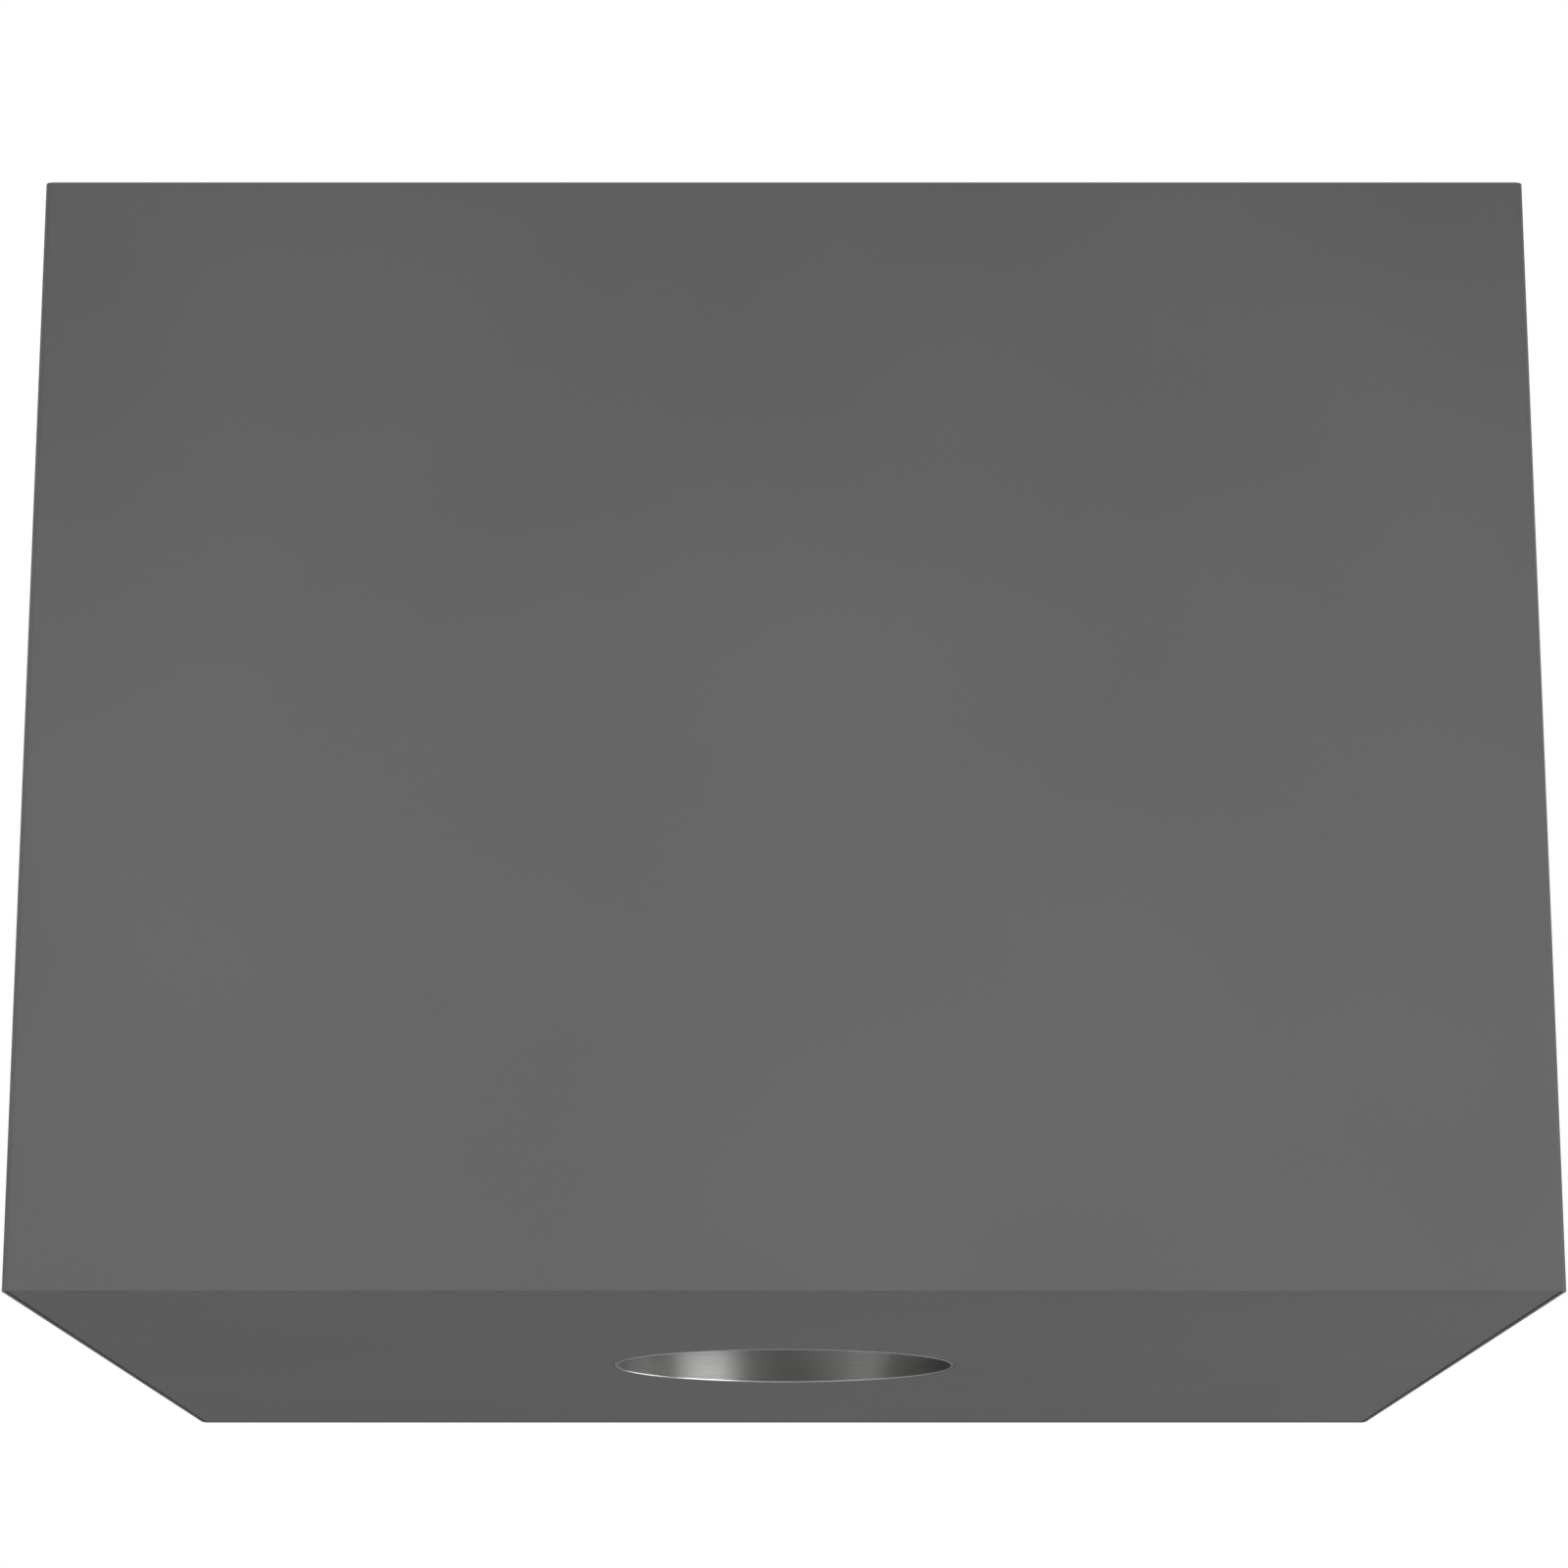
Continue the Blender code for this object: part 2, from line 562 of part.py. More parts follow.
# ---- blower ----------------------------------------------------------------------------
def blower_shells():
    """Two flanged shells round the impeller, with a bell-mouth inlet below."""
    spigot, drum, rim = SPIGOT_R + SHELL, DRUM_R - SHELL, DRUM_R + JOINT_RIM
    inlet_flange = SPIGOT_R + SHELL + GASKET_WIDTH
    lower = [
        (SPIGOT_R, INLET_Z), (SPIGOT_R, FLOOR_Z - SHELL), (BELL_R, FLOOR_Z + BELL_HEIGHT),
        (BELL_R + SHELL, FLOOR_Z + BELL_HEIGHT), (spigot, FLOOR_Z), (drum, FLOOR_Z),
        (drum, SPLIT_Z), (rim, SPLIT_Z), (rim, SPLIT_Z - SHELL), (DRUM_R, SPLIT_Z - SHELL),
        (DRUM_R, FLOOR_Z - SHELL), (spigot, FLOOR_Z - SHELL), (spigot, INLET_Z + SHELL),
        (inlet_flange, INLET_Z + SHELL), (inlet_flange, INLET_Z),
    ]
    part("blower_lower_shell", turned(lower), "galvanised")
    shoulder, throat = UPPER_Z + UPPER_HEIGHT, UPPER_Z + UPPER_HEIGHT + CONE_HEIGHT
    upper = [
        (drum, UPPER_Z), (drum, shoulder), (SPIGOT_R, throat), (SPIGOT_R, SPIGOT_TOP),
        (spigot, SPIGOT_TOP), (spigot, throat + SHELL), (DRUM_R, shoulder + SHELL / 2),
        (DRUM_R, UPPER_Z + SHELL), (rim, UPPER_Z + SHELL), (rim, UPPER_Z),
    ]
    part("blower_upper_shell", turned(upper), "galvanised")


def clamp_band():
    """Split band that holds the shells' rims together, with its screw across the lugs."""
    inner, lip = DRUM_R + JOINT_RIM + GAP, DRUM_R + JOINT_RIM / 3
    outer, foot = inner + BAND, BAND_FOOT
    top = UPPER_Z + SHELL + GAP + BAND
    profile = [
        (lip, foot), (outer, foot), (outer, top), (lip, top),
        (lip, top - BAND), (inner, top - BAND), (inner, foot + BAND), (lip, foot + BAND),
    ]
    split, lug = BAND_LUG / 2, 2 * BAND
    root = (inner + 0.6 * BAND) * math.cos(math.pi / ROUND)  # inside the band's own sheet
    lugs = [
        block(
            (root, side * split - (lug if side < 0 else 0), foot + GAP),
            (outer + BAND_LUG, side * split + (lug if side > 0 else 0), top - GAP),
        )
        for side in (-1, 1)
    ]
    opening = block((lip - BAND, -split, foot - BAND), (outer + 2 * BAND_LUG, split, top + BAND))
    middle = (foot + top) / 2
    screw_x = outer + BAND_LUG / 2
    hole = rod(BAND + GAP, -2 * BAND_LUG, 2 * BAND_LUG, (screw_x, 0, middle), "Y", 12)
    band = carved(joined(carved(turned(profile), opening), *lugs), hole)
    part("clamp_band", band, "zinc")
    reach, head = split + lug + GAP, 1.8 * BAND
    screw = [
        (0, -reach - BAND), (head, -reach - BAND), (head, -reach), (BAND, -reach),
        (BAND, reach), (head, reach), (head, reach + BAND), (0, reach + BAND),
    ]
    part("clamp_screw", turned(screw, (screw_x, 0, middle), "Y", 12), "zinc")


def support_ring():
    """Flat ring under the clamp band, with an ear for each hanger rod."""
    low, high = RING_Z, RING_Z + RING_SHEET
    ring = tube(DRUM_R + GAP, DRUM_R + RING_WIDTH, low, high)
    ears = [rod(2 * NUT_R, low, high, (x, y, 0)) for x, y in rod_places()]
    holes = [
        rod(ROD_R + GAP, low - RING_SHEET, high + RING_SHEET, (x, y, 0), segments=8)
        for x, y in rod_places()
    ]
    part("support_ring", carved(joined(ring, *ears), *holes), "zinc")


def hanger_rods():
    """Threaded rods with nuts clamped on the ears, under the top plate and in the rails."""
    ear, ear_top = RING_Z - GAP, RING_Z + RING_SHEET + GAP
    plate, washer = PAN_UNDER, HEIGHT + 2 * GAP + RAIL_SHEET
    nut, washer_r = washer + WASHER, RAIL_WIDTH / 2 - 2 * RAIL_SHEET
    profile = [
        (0, ear - NUT - ROD_TAIL), (ROD_R, ear - NUT - ROD_TAIL), (ROD_R, ear - NUT),
        (NUT_R, ear - NUT), (NUT_R, ear), (ROD_R, ear), (ROD_R, ear_top), (NUT_R, ear_top),
        (NUT_R, ear_top + NUT), (ROD_R, ear_top + NUT), (ROD_R, plate - NUT),
        (NUT_R, plate - NUT), (NUT_R, plate), (ROD_R, plate), (ROD_R, washer),
        (washer_r, washer), (washer_r, nut), (NUT_R, nut), (NUT_R, nut + NUT), (ROD_R, nut + NUT),
        (ROD_R, nut + NUT + ROD_TAIL), (0, nut + NUT + ROD_TAIL),
    ]
    for index, (x, y) in enumerate(rod_places(), 1):
        part(f"hanger_rod_{index}", turned(profile, (x, y, 0), segments=8), "zinc")


# ---- impeller and motor ----------------------------------------------------------------
def shroud_face(radius):
    """Height of the shroud's air side."""
    share = (radius - SHROUD_R) / (IMPELLER_R - SHROUD_R)
    return FLOOR_Z + BELL_HEIGHT + 2 * SHELL + share * SHROUD_RISE


def blade(index):
    """One backward-swept blade, from just above the shroud into the back plate."""
    bm = bmesh.new()
    inner, outer, stations = SHROUD_R + 2 * SHELL, IMPELLER_R - SHELL, 5
    loops = []
    for station in range(stations):
        share = station / (stations - 1)
        radius = inner + (outer - inner) * share
        angle = 2 * math.pi * index / BLADES - BLADE_SWEEP * share**1.3
        half = BLADE / 2 / radius * 1.6
        corners = []
        for turn, z in ((-half, shroud_face(radius) + 2 * GAP), (half, shroud_face(radius) + 2 * GAP),
                        (half, BACK_Z + PLATE / 2), (-half, BACK_Z + PLATE / 2)):
            x, y = radius * math.cos(angle + turn), radius * math.sin(angle + turn)
            corners.append(bm.verts.new((x, y, z)))
        loops.append(corners)
    for near, far in zip(loops, loops[1:]):
        for i in range(4):
            bm.faces.new((near[i - 1], near[i], far[i], far[i - 1]))
    bm.faces.new(loops[0])
    bm.faces.new(loops[-1][::-1])
    bmesh.ops.recalc_face_normals(bm, faces=bm.faces)
    return bm


def impeller(axis):
    hub = SHAFT_R + GAP
    back = tube(hub, IMPELLER_R, BACK_Z, BACK_Z + PLATE)
    part("impeller", joined(back, *[blade(index) for index in range(BLADES)]), "aluminium", axis)
    foot, corner = FLOOR_Z + BELL_HEIGHT - SHELL, shroud_face(SHROUD_R)
    edge = shroud_face(IMPELLER_R)
    profile = [
        (SHROUD_R, foot), (SHROUD_R, corner), (IMPELLER_R, edge), (IMPELLER_R, edge - PLATE),
        (SHROUD_R + PLATE, corner - PLATE), (SHROUD_R + PLATE, foot),
    ]
    part("impeller_shroud", turned(profile), "aluminium", axis)
    can = [
        (hub, CAN_Z), (CAN_R, CAN_Z), (CAN_R, CAN_TOP), (CAN_R - CAN_WALL, CAN_TOP),
        (CAN_R - CAN_WALL, CAN_Z + CAN_WALL), (hub, CAN_Z + CAN_WALL),
    ]
    part("rotor_can", turned(can, segments=24), "motor_steel", axis)
    low, high = BACK_Z - SHAFT_R, STATOR_TOP + AIR_GAP
    shaft = [
        (0, low), (1.4 * SHAFT_R, low), (1.4 * SHAFT_R, BACK_Z - GAP), (SHAFT_R, BACK_Z - GAP),
        (SHAFT_R, high), (0, high),
    ]
    part("motor_shaft", turned(shaft, segments=SMALL_ROUND), "motor_steel", axis)


def motor():
    """Fixed half of the external-rotor motor, on its flange and the spider."""
    bore = BEARING_R + GAP
    places = {"bearing_lower": STATOR_Z + AIR_GAP, "bearing_upper": STATOR_TOP - AIR_GAP - BEARING_WIDTH}
    for name, z in places.items():
        ring = tube(SHAFT_R + GAP, BEARING_R, z, z + BEARING_WIDTH, segments=SMALL_ROUND)
        part(name, ring, "stainless")
    core = [
        (bore, STATOR_Z), (CAN_R - CAN_WALL - AIR_GAP, STATOR_Z),
        (CAN_R - CAN_WALL - AIR_GAP, STATOR_TOP), (bore, STATOR_TOP),
    ]
    part("stator_core", turned(core, segments=24), "motor_steel")
    flange = tube(SHAFT_R + 2 * AIR_GAP, CAN_R + 2 * AIR_GAP, FLANGE_Z, FLANGE_Z + MOTOR_FLANGE, segments=24)
    part("motor_flange", flange, "aluminium")

    half, top = SPIDER_WIDTH / 2, SPIDER_Z + SPIDER_SHEET
    inside = (DRUM_R - SHELL) * math.cos(math.pi / ROUND) - GAP  # across the drum's flats
    reach = math.sqrt(inside**2 - half**2)
    hub = rod(CAN_R, SPIDER_Z, top, segments=24)
    arms, tabs = [], []
    for x, y in ((1, 0), (0, 1)):
        wide = (x * reach + y * half, y * reach + x * half)
        arms.append(block((-wide[0], -wide[1], SPIDER_Z), (*wide, top)))
        for side in (-1, 1):
            near, far = sorted((side * reach, side * (reach - SPIDER_SHEET)))
            low = (near, -half) if x else (-half, near)
            high = (far, half) if x else (half, far)
            tabs.append(block((*low, SPIDER_Z + SPIDER_SHEET / 3), (*high, SPIDER_Z + SPIDER_TAB)))
    hole = rod(BEARING_R, SPIDER_Z - top, 2 * top, segments=SMALL_ROUND)
    part("motor_spider", carved(joined(hub, *arms, *tabs), hole), "galvanised")


# ---- outlet ----------------------------------------------------------------------------
def outlet_collar():
    """Round collar for the duct and its flange, with a ledge inside that the flaps rest on."""
    ledge = DAMPER_Z - FLAP / 2 - GAP
    top = HEIGHT + COLLAR_ABOVE
    profile = [
        (COLLAR_IN, COLLAR_Z), (COLLAR_IN, ledge - 3 * FLAP), (COLLAR_IN - KNUCKLE_R, ledge - FLAP),
        (COLLAR_IN - KNUCKLE_R, ledge), (COLLAR_IN, ledge), (COLLAR_IN, top), (COLLAR_R, top),
        (COLLAR_R, COLLAR_Z),
    ]
    hole = rod(FLAP_PIN_R + GAP, -2 * COLLAR_R, 2 * COLLAR_R, (0, 0, DAMPER_Z), "Y")
    part("outlet_collar", carved(turned(profile), hole), "galvanised")
    seat, rim = HEIGHT + GAP, COLLAR_R + GAP
    flange = [
        (rim, seat), (rim, seat + COLLAR_WALL), (COLLAR_FLANGE_R, seat + COLLAR_WALL),
        (COLLAR_FLANGE_R, seat),
    ]
    part("collar_flange", turned(flange), "galvanised")
    reach, head = COLLAR_R + GAP, 1.6 * FLAP_PIN_R
    pin = [
        (0, -reach - FLAP), (head, -reach - FLAP), (head, -reach), (FLAP_PIN_R, -reach),
        (FLAP_PIN_R, reach), (head, reach), (head, reach + FLAP), (0, reach + FLAP),
    ]
    part("damper_pin", turned(pin, (0, 0, DAMPER_Z), "Y", SMALL_ROUND), "stainless")


def damper_flap(name, side, spans, axis):
    """Half disc with knuckles on the pin; spans are its knuckles' places along Y."""
    disc = rod(FLAP_R, DAMPER_Z - FLAP / 2, DAMPER_Z + FLAP / 2, segments=ROUND)
    edge = side * (KNUCKLE_R + FLAP_PLAY)
    low, high = sorted((edge, side * 2 * FLAP_R))
    reach = 2 * FLAP_R
    half = combined(
        disc, [block((low, -reach, DAMPER_Z - reach), (high, reach, DAMPER_Z + reach))], "INTERSECT"
    )
    pieces = []
    for start, stop in spans:
        near, far = sorted((0, edge * 1.5))
        pieces.append(block((near, start, DAMPER_Z - FLAP / 2), (far, stop, DAMPER_Z + FLAP / 2)))
        pieces.append(rod(KNUCKLE_R, start, stop, (0, 0, DAMPER_Z), "Y"))
    bore = rod(FLAP_PIN_R + GAP, -reach, reach, (0, 0, DAMPER_Z), "Y")
    part(name, carved(joined(half, *pieces), bore), "aluminium", axis)


def damper_spans():
    """Knuckles in turn from one end of the pin: left flap, right flap, left, right."""
    step, half = FLAP_R * 1.5 / 4, FLAP_R * 0.75
    edges = [(index * step - half + GAP, (index + 1) * step - half - GAP) for index in range(4)]
    return edges[::2], edges[1::2]


def duct_sleeve():
    """Flexible sleeve from the blower's outlet to the collar, clamped at both cuffs."""
    low, high = SPIGOT_TOP - CUFF, COLLAR_Z + CUFF
    start, stop = low + CUFF + GAP, high - CUFF - GAP
    wide, narrow = SPIGOT_R + SHELL + GAP, COLLAR_R + GAP
    waves = max(1, round((stop - start) / SLEEVE_PITCH))
    inner = [(wide, low), (wide, start)]
    for index in range(waves):
        share = (index + 0.5) / waves
        inner.append((max(wide, narrow) + SLEEVE_WAVE, start + (stop - start) * share))
        if index < waves - 1:
            inner.append((wide, start + (stop - start) * (index + 1) / waves))
    inner += [(narrow, stop), (narrow, high)]
    outer = [(r + SLEEVE, z) for r, z in inner[::-1]]
    part("duct_sleeve", turned(inner + outer), "aluminium")
    places = {
        "hose_clamp_lower": (wide + SLEEVE, low + CUFF / 2),
        "hose_clamp_upper": (narrow + SLEEVE, high - CUFF / 2),
    }
    for name, (radius, z) in places.items():
        foot, top = z - CLAMP_WIDTH / 2, z + CLAMP_WIDTH / 2
        ring = tube(radius + GAP, radius + GAP + CLAMP, foot, top)
        screw = block(
            (radius + GAP + CLAMP / 3, -CLAMP_WIDTH, foot + CLAMP),
            (radius + CLAMP_WIDTH, CLAMP_WIDTH, top - CLAMP),
        )
        part(name, joined(ring, screw), "stainless")


# ---- electrical ------------------------------------------------------------------------
def terminal_box():
    """Box under the top plate, its lid below, and the gland that the house cable enters by."""
    half_x, half_y = BOX_WIDTH / 2, BOX_LENGTH / 2
    top, foot = PAN_UNDER, PAN_UNDER - BOX_HEIGHT
    box = block((BOX_X - half_x, -half_y, foot), (BOX_X + half_x, half_y, top))
    inside = block(
        (BOX_X - half_x + BOX_WALL, BOX_WALL - half_y, foot - BOX_WALL),
        (BOX_X + half_x - BOX_WALL, half_y - BOX_WALL, top - BOX_WALL),
    )
    hole = rod(GLAND_R + GAP, top - 2 * BOX_WALL, top + BOX_WALL, (BOX_X, 0, 0))
    part("terminal_box", carved(box, inside, hole), "galvanised")
    lid = block(
        (BOX_X - half_x, -half_y, foot - GAP - BOX_WALL), (BOX_X + half_x, half_y, foot - GAP)
    )
    part("terminal_box_lid", lid, "galvanised")
    low, seat = top - BOX_WALL - GLAND_R, HEIGHT + GAP
    bore, cap = 0.6 * GLAND_R, GLAND_CAP_R
    profile = [
        (bore, low), (GLAND_R, low), (GLAND_R, seat), (cap, seat), (cap, seat + cap / 2),
        (0.8 * cap, seat + cap / 2), (0.7 * cap, seat + 1.3 * cap), (bore, seat + 1.3 * cap),
    ]
    part("cable_gland", turned(profile, (BOX_X, 0, 0), segments=SMALL_ROUND), "grey_plastic")


def capacitor():
    """Run capacitor beside the terminal box, in a strap clip under the top plate."""
    start = BOX_LENGTH / 2 + 2 * CAPACITOR_R
    z = PAN_UNDER - LEAF - GAP - CAPACITOR_R
    can = rod(CAPACITOR_R, start, start + CAPACITOR_LENGTH, (BOX_X, 0, z), "Y")
    part("capacitor", can, "aluminium")
    wide, low, top = CAPACITOR_R + GAP, z - CAPACITOR_R - GAP, PAN_UNDER
    foot = wide + CAPACITOR_R / 1.5
    line = [(-foot, top), (-wide, top), (-wide, low), (wide, low), (wide, top), (foot, top)]
    strap = folded([(BOX_X + x, v) for x, v in line[::-1]], LEAF, 2 * LEAF)
    middle = start + CAPACITOR_LENGTH / 2
    clip = prism(strap, middle - CLIP_WIDTH / 2, middle + CLIP_WIDTH / 2, "Y")
    part("capacitor_clip", clip, "zinc")


def keys(axes):
    """Four round push keys, flush in the rear wall, in one housing behind it."""
    front, half = RETURN_Y - HOUSING_DEPTH, KEY_PITCH / 2
    reach = KEYS * half + GAP
    flange_r = KEY_R + 2 * KEY_PLAY + KEY_FLANGE
    rest = RETURN_Y - KEY_FLANGE
    floor = rest - KEY_TRAVEL - 3 * KEY_FLANGE
    housing = block((-reach, front, KEY_Z - half), (reach, RETURN_Y, KEY_Z + half))
    wells = [rod(flange_r + KEY_PLAY, floor, HALF_D, (x, 0, KEY_Z), "Y") for x in key_places()]
    stems = [
        rod(KEY_STEM_R + KEY_PLAY, front - SHEET, REAR_IN, (x, 0, KEY_Z), "Y", 12)
        for x in key_places()
    ]
    part("key_housing", carved(housing, *wells, *stems), "black_plastic")
    face, edge = HALF_D - GAP / 3, KEY_R - KEY_PLAY
    for index, (x, axis) in enumerate(zip(key_places(), axes), 1):
        profile = [
            (0, floor - KEY_TRAVEL), (KEY_STEM_R, floor - KEY_TRAVEL), (KEY_STEM_R, rest),
            (flange_r, rest), (flange_r, rest + KEY_FLANGE), (KEY_R, rest + KEY_FLANGE),
            (KEY_R, face - KEY_PLAY), (edge, face), (0, face),
        ]
        button = turned(profile, (x, 0, KEY_Z), "Y", SMALL_ROUND)
        part(f"key_{index}", button, "black_plastic", axis)


# ---- assembly --------------------------------------------------------------------------
def main():
    for old in list(bpy.data.objects):
        bpy.data.objects.remove(old)
    panel_axis = joint_axis("panel_hinge_axis", (0, HINGE_Y, HINGE_Z))
    filter_axis = joint_axis("filter_axis", (0, 0, FILTER_Z))
    filter_axis.parent = panel_axis
    filter_axis.matrix_parent_inverse = Matrix.Translation(-panel_axis.location)
    impeller_axis = joint_axis("impeller_axis", (0, 0, BACK_Z))
    damper_axes = [joint_axis(f"damper_{side}_axis", (0, 0, DAMPER_Z)) for side in ("left", "right")]
    key_axes = [
        joint_axis(f"key_{index}_axis", (x, HALF_D, KEY_Z))
        for index, x in enumerate(key_places(), 1)
    ]

    canopy_wrap()
    rear_panel()
    top_plate()
    rims()
    ceiling_rails()
    hinge("left", -HINGE_X, panel_axis)
    hinge("right", HINGE_X, panel_axis)
    catches(panel_axis)
    bottom_panel(panel_axis)
    throat_ring(panel_axis)
    filter_cartridge(filter_axis)
    blower_shells()
    clamp_band()
    support_ring()
    hanger_rods()
    impeller(impeller_axis)
    motor()
    outlet_collar()
    left_spans, right_spans = damper_spans()
    damper_flap("damper_flap_left", -1, left_spans, damper_axes[0])
    damper_flap("damper_flap_right", 1, right_spans, damper_axes[1])
    duct_sleeve()
    terminal_box()
    capacitor()
    keys(key_axes)


main()
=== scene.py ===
"""Looks of a box-shaped island range hood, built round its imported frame. Metres, +Z up."""
import json
import math

import bmesh
import bpy
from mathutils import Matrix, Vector


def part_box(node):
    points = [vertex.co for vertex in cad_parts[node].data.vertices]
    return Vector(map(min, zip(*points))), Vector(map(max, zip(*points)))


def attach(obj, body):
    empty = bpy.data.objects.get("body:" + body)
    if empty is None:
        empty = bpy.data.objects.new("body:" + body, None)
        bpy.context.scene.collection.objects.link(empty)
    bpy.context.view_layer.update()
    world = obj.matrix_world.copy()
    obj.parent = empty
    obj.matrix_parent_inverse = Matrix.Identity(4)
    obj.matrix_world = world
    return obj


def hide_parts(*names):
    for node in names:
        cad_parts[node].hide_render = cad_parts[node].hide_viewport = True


MM = 0.001
LARGE, MIDDLE, SMALL = 160, 96, 32  # steps round large, middling and small turned pieces

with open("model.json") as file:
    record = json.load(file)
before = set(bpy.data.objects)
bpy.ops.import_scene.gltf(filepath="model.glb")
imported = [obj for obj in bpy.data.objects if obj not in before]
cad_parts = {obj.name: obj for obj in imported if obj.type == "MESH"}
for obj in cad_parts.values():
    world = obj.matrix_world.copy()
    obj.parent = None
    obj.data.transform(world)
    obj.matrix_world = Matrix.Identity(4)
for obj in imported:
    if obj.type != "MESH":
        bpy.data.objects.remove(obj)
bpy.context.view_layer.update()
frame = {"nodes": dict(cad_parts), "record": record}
RECORD = frame["record"]
BODY = {node: body for body, nodes in RECORD["behaviour"]["bodies"].items() for node in nodes}


def low(node):
    return Vector(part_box(node)[0])


def high(node):
    return Vector(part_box(node)[1])


def middle(node):
    return (low(node) + high(node)) / 2


def heights(node):
    return low(node).z, high(node).z


# ---- finishes --------------------------------------------------------------------------
def linear(code):
    """An sRGB hex colour as linear red, green, blue and alpha."""
    parts = [int(code[i : i + 2], 16) / 255 for i in (1, 3, 5)]
    return (*[p / 12.92 if p <= 0.04045 else ((p + 0.055) / 1.055) ** 2.4 for p in parts], 1.0)


def add(tree, kind, inputs=(), stops=(), **settings):
    """Adds a node: its properties, its ramp's stops, and its inputs. An input is a value, a socket
    to link, or a node, whose first output is linked."""
    made = tree.nodes.new(kind)
    for name, value in settings.items():
        setattr(made, name, value)
    for index, (place, code) in enumerate(stops):
        ramp = made.color_ramp.elements
        stop = ramp[index] if index < len(ramp) else ramp.new(place)
        stop.position, stop.color = place, linear(code)
    for key, value in dict(inputs).items():
        if isinstance(value, bpy.types.Node):
            value = value.outputs[0]
        if isinstance(value, bpy.types.NodeSocket):
            tree.links.new(value, made.inputs[key])
        else:
            made.inputs[key].default_value = value
    return made


def new_finish(name):
    """A new material, its tree, and each point's place on the object in metres."""
    material = bpy.data.materials.new(name)
    material.use_nodes = True
    tree = material.node_tree
    tree.nodes.clear()
    return material, tree, add(tree, "ShaderNodeTexCoord").outputs["Object"]


def surfaced(material, shade, tones, dull, rough=None, relief=None, **values):
    """Ends a finish: shade picks between the tones, and dull between the two roughnesses, or is the
    roughness itself; relief is the bump's height, strength and depth."""
    tree = material.node_tree
    values["Base Color"] = add(tree, "ShaderNodeValToRGB", {"Fac": shade}, stops=tones)
    values["Roughness"] = dull
    if rough:
        ends = {"Value": dull, "To Min": rough[0], "To Max": rough[1]}
        values["Roughness"] = add(tree, "ShaderNodeMapRange", ends)
    if relief:
        bump = dict(zip(("Height", "Strength", "Distance"), relief))
        values["Normal"] = add(tree, "ShaderNodeBump", bump)
    shader = add(tree, "ShaderNodeBsdfPrincipled", values)
    add(tree, "ShaderNodeOutputMaterial", {"Surface": shader})
    return material


def powder_coated_steel():
    """Polyester powder baked on steel sheet: closed, dull and dark grey, with a fine even grit.
    The grit is 0.4 mm across in the coat; it is drawn at 1.2 mm so that it can show."""
    material, tree, place = new_finish("powder_coated_steel")
    cloud = add(tree, "ShaderNodeTexNoise", {"Vector": place, "Scale": 1 / (160 * MM), "Detail": 2.0})
    grit = add(tree, "ShaderNodeTexNoise", {"Vector": place, "Scale": 1 / (1.2 * MM), "Detail": 2.0})
    return surfaced(material, cloud, [(0.3, "#484848"), (0.7, "#4B4B4B")], grit, (0.66, 0.8),
                    (grit, 0.25, 0.05 * MM), IOR=1.5, **{"Specular IOR Level": 0.3})


def brushed_stainless():
    """Stainless sheet, rolled and brushed along its length: bright, with highlights that stretch
    across the brushing. The scratches are 0.05 mm apart; they are drawn 0.5 mm apart."""
    material, tree, _ = new_finish("brushed_stainless")
    place = add(tree, "ShaderNodeUVMap", uv_map="UVMap")
    along = add(tree, "ShaderNodeMapping", {"Vector": place, "Scale": (1 / (30 * MM), 1 / (0.5 * MM), 1.0)})
    scratch = add(tree, "ShaderNodeTexNoise", {"Vector": along, "Scale": 1.0, "Detail": 3.0})
    return surfaced(material, scratch, [(0.3, "#ACABA9"), (0.7, "#B8B7B5")], scratch, (0.25, 0.33),
                    (scratch, 0.12, 0.02 * MM), Metallic=1.0)


def bright_stainless():
    """Ground stainless rod and rings: bright, with faint marks 1 mm apart from handling."""
    material, tree, place = new_finish("bright_stainless")
    marks = add(tree, "ShaderNodeTexNoise", {"Vector": place, "Scale": 1 / (1.0 * MM), "Detail": 3.0})
    return surfaced(material, marks, [(0.3, "#BCBBB9"), (0.7, "#D0CFCD")], marks, (0.18, 0.3), Metallic=1.0)


def galvanised_sheet():
    """Hot-dip galvanised sheet: pale blue-grey zinc in flat crystals 9 mm across, each its own tone."""
    material, tree, place = new_finish("galvanised_sheet")
    warp = add(tree, "ShaderNodeTexNoise", {"Vector": place, "Scale": 1 / (7 * MM), "Detail": 2.0})
    bent = add(
        tree, "ShaderNodeVectorMath",
        {0: warp.outputs["Color"], 1: (4 * MM, 4 * MM, 4 * MM), 2: place}, operation="MULTIPLY_ADD",
    )
    spangle = add(tree, "ShaderNodeTexVoronoi", {"Vector": bent, "Scale": 1 / (9 * MM)})
    shade = add(tree, "ShaderNodeSeparateColor", {"Color": spangle.outputs["Color"]}).outputs
    tones = [(0.0, "#A3A8AB"), (1.0, "#BFC3C5")]
    return surfaced(material, shade["Red"], tones, shade["Green"], (0.36, 0.54), Metallic=1.0)


def zinc_plate():
    """Bright zinc plating on pressed and turned steel: silvery with soft cloudy passivation."""
    material, tree, place = new_finish("zinc_plate")
    cloud = add(tree, "ShaderNodeTexNoise", {"Vector": place, "Scale": 1 / (12 * MM), "Detail": 4.0})
    grain = add(tree, "ShaderNodeTexNoise", {"Vector": place, "Scale": 1 / (0.8 * MM), "Detail": 2.0})
    return surfaced(material, cloud, [(0.3, "#B9BCBF"), (0.7, "#CFD0CC")], cloud, (0.26, 0.42),
                    (grain, 0.15, 0.03 * MM), Metallic=1.0)


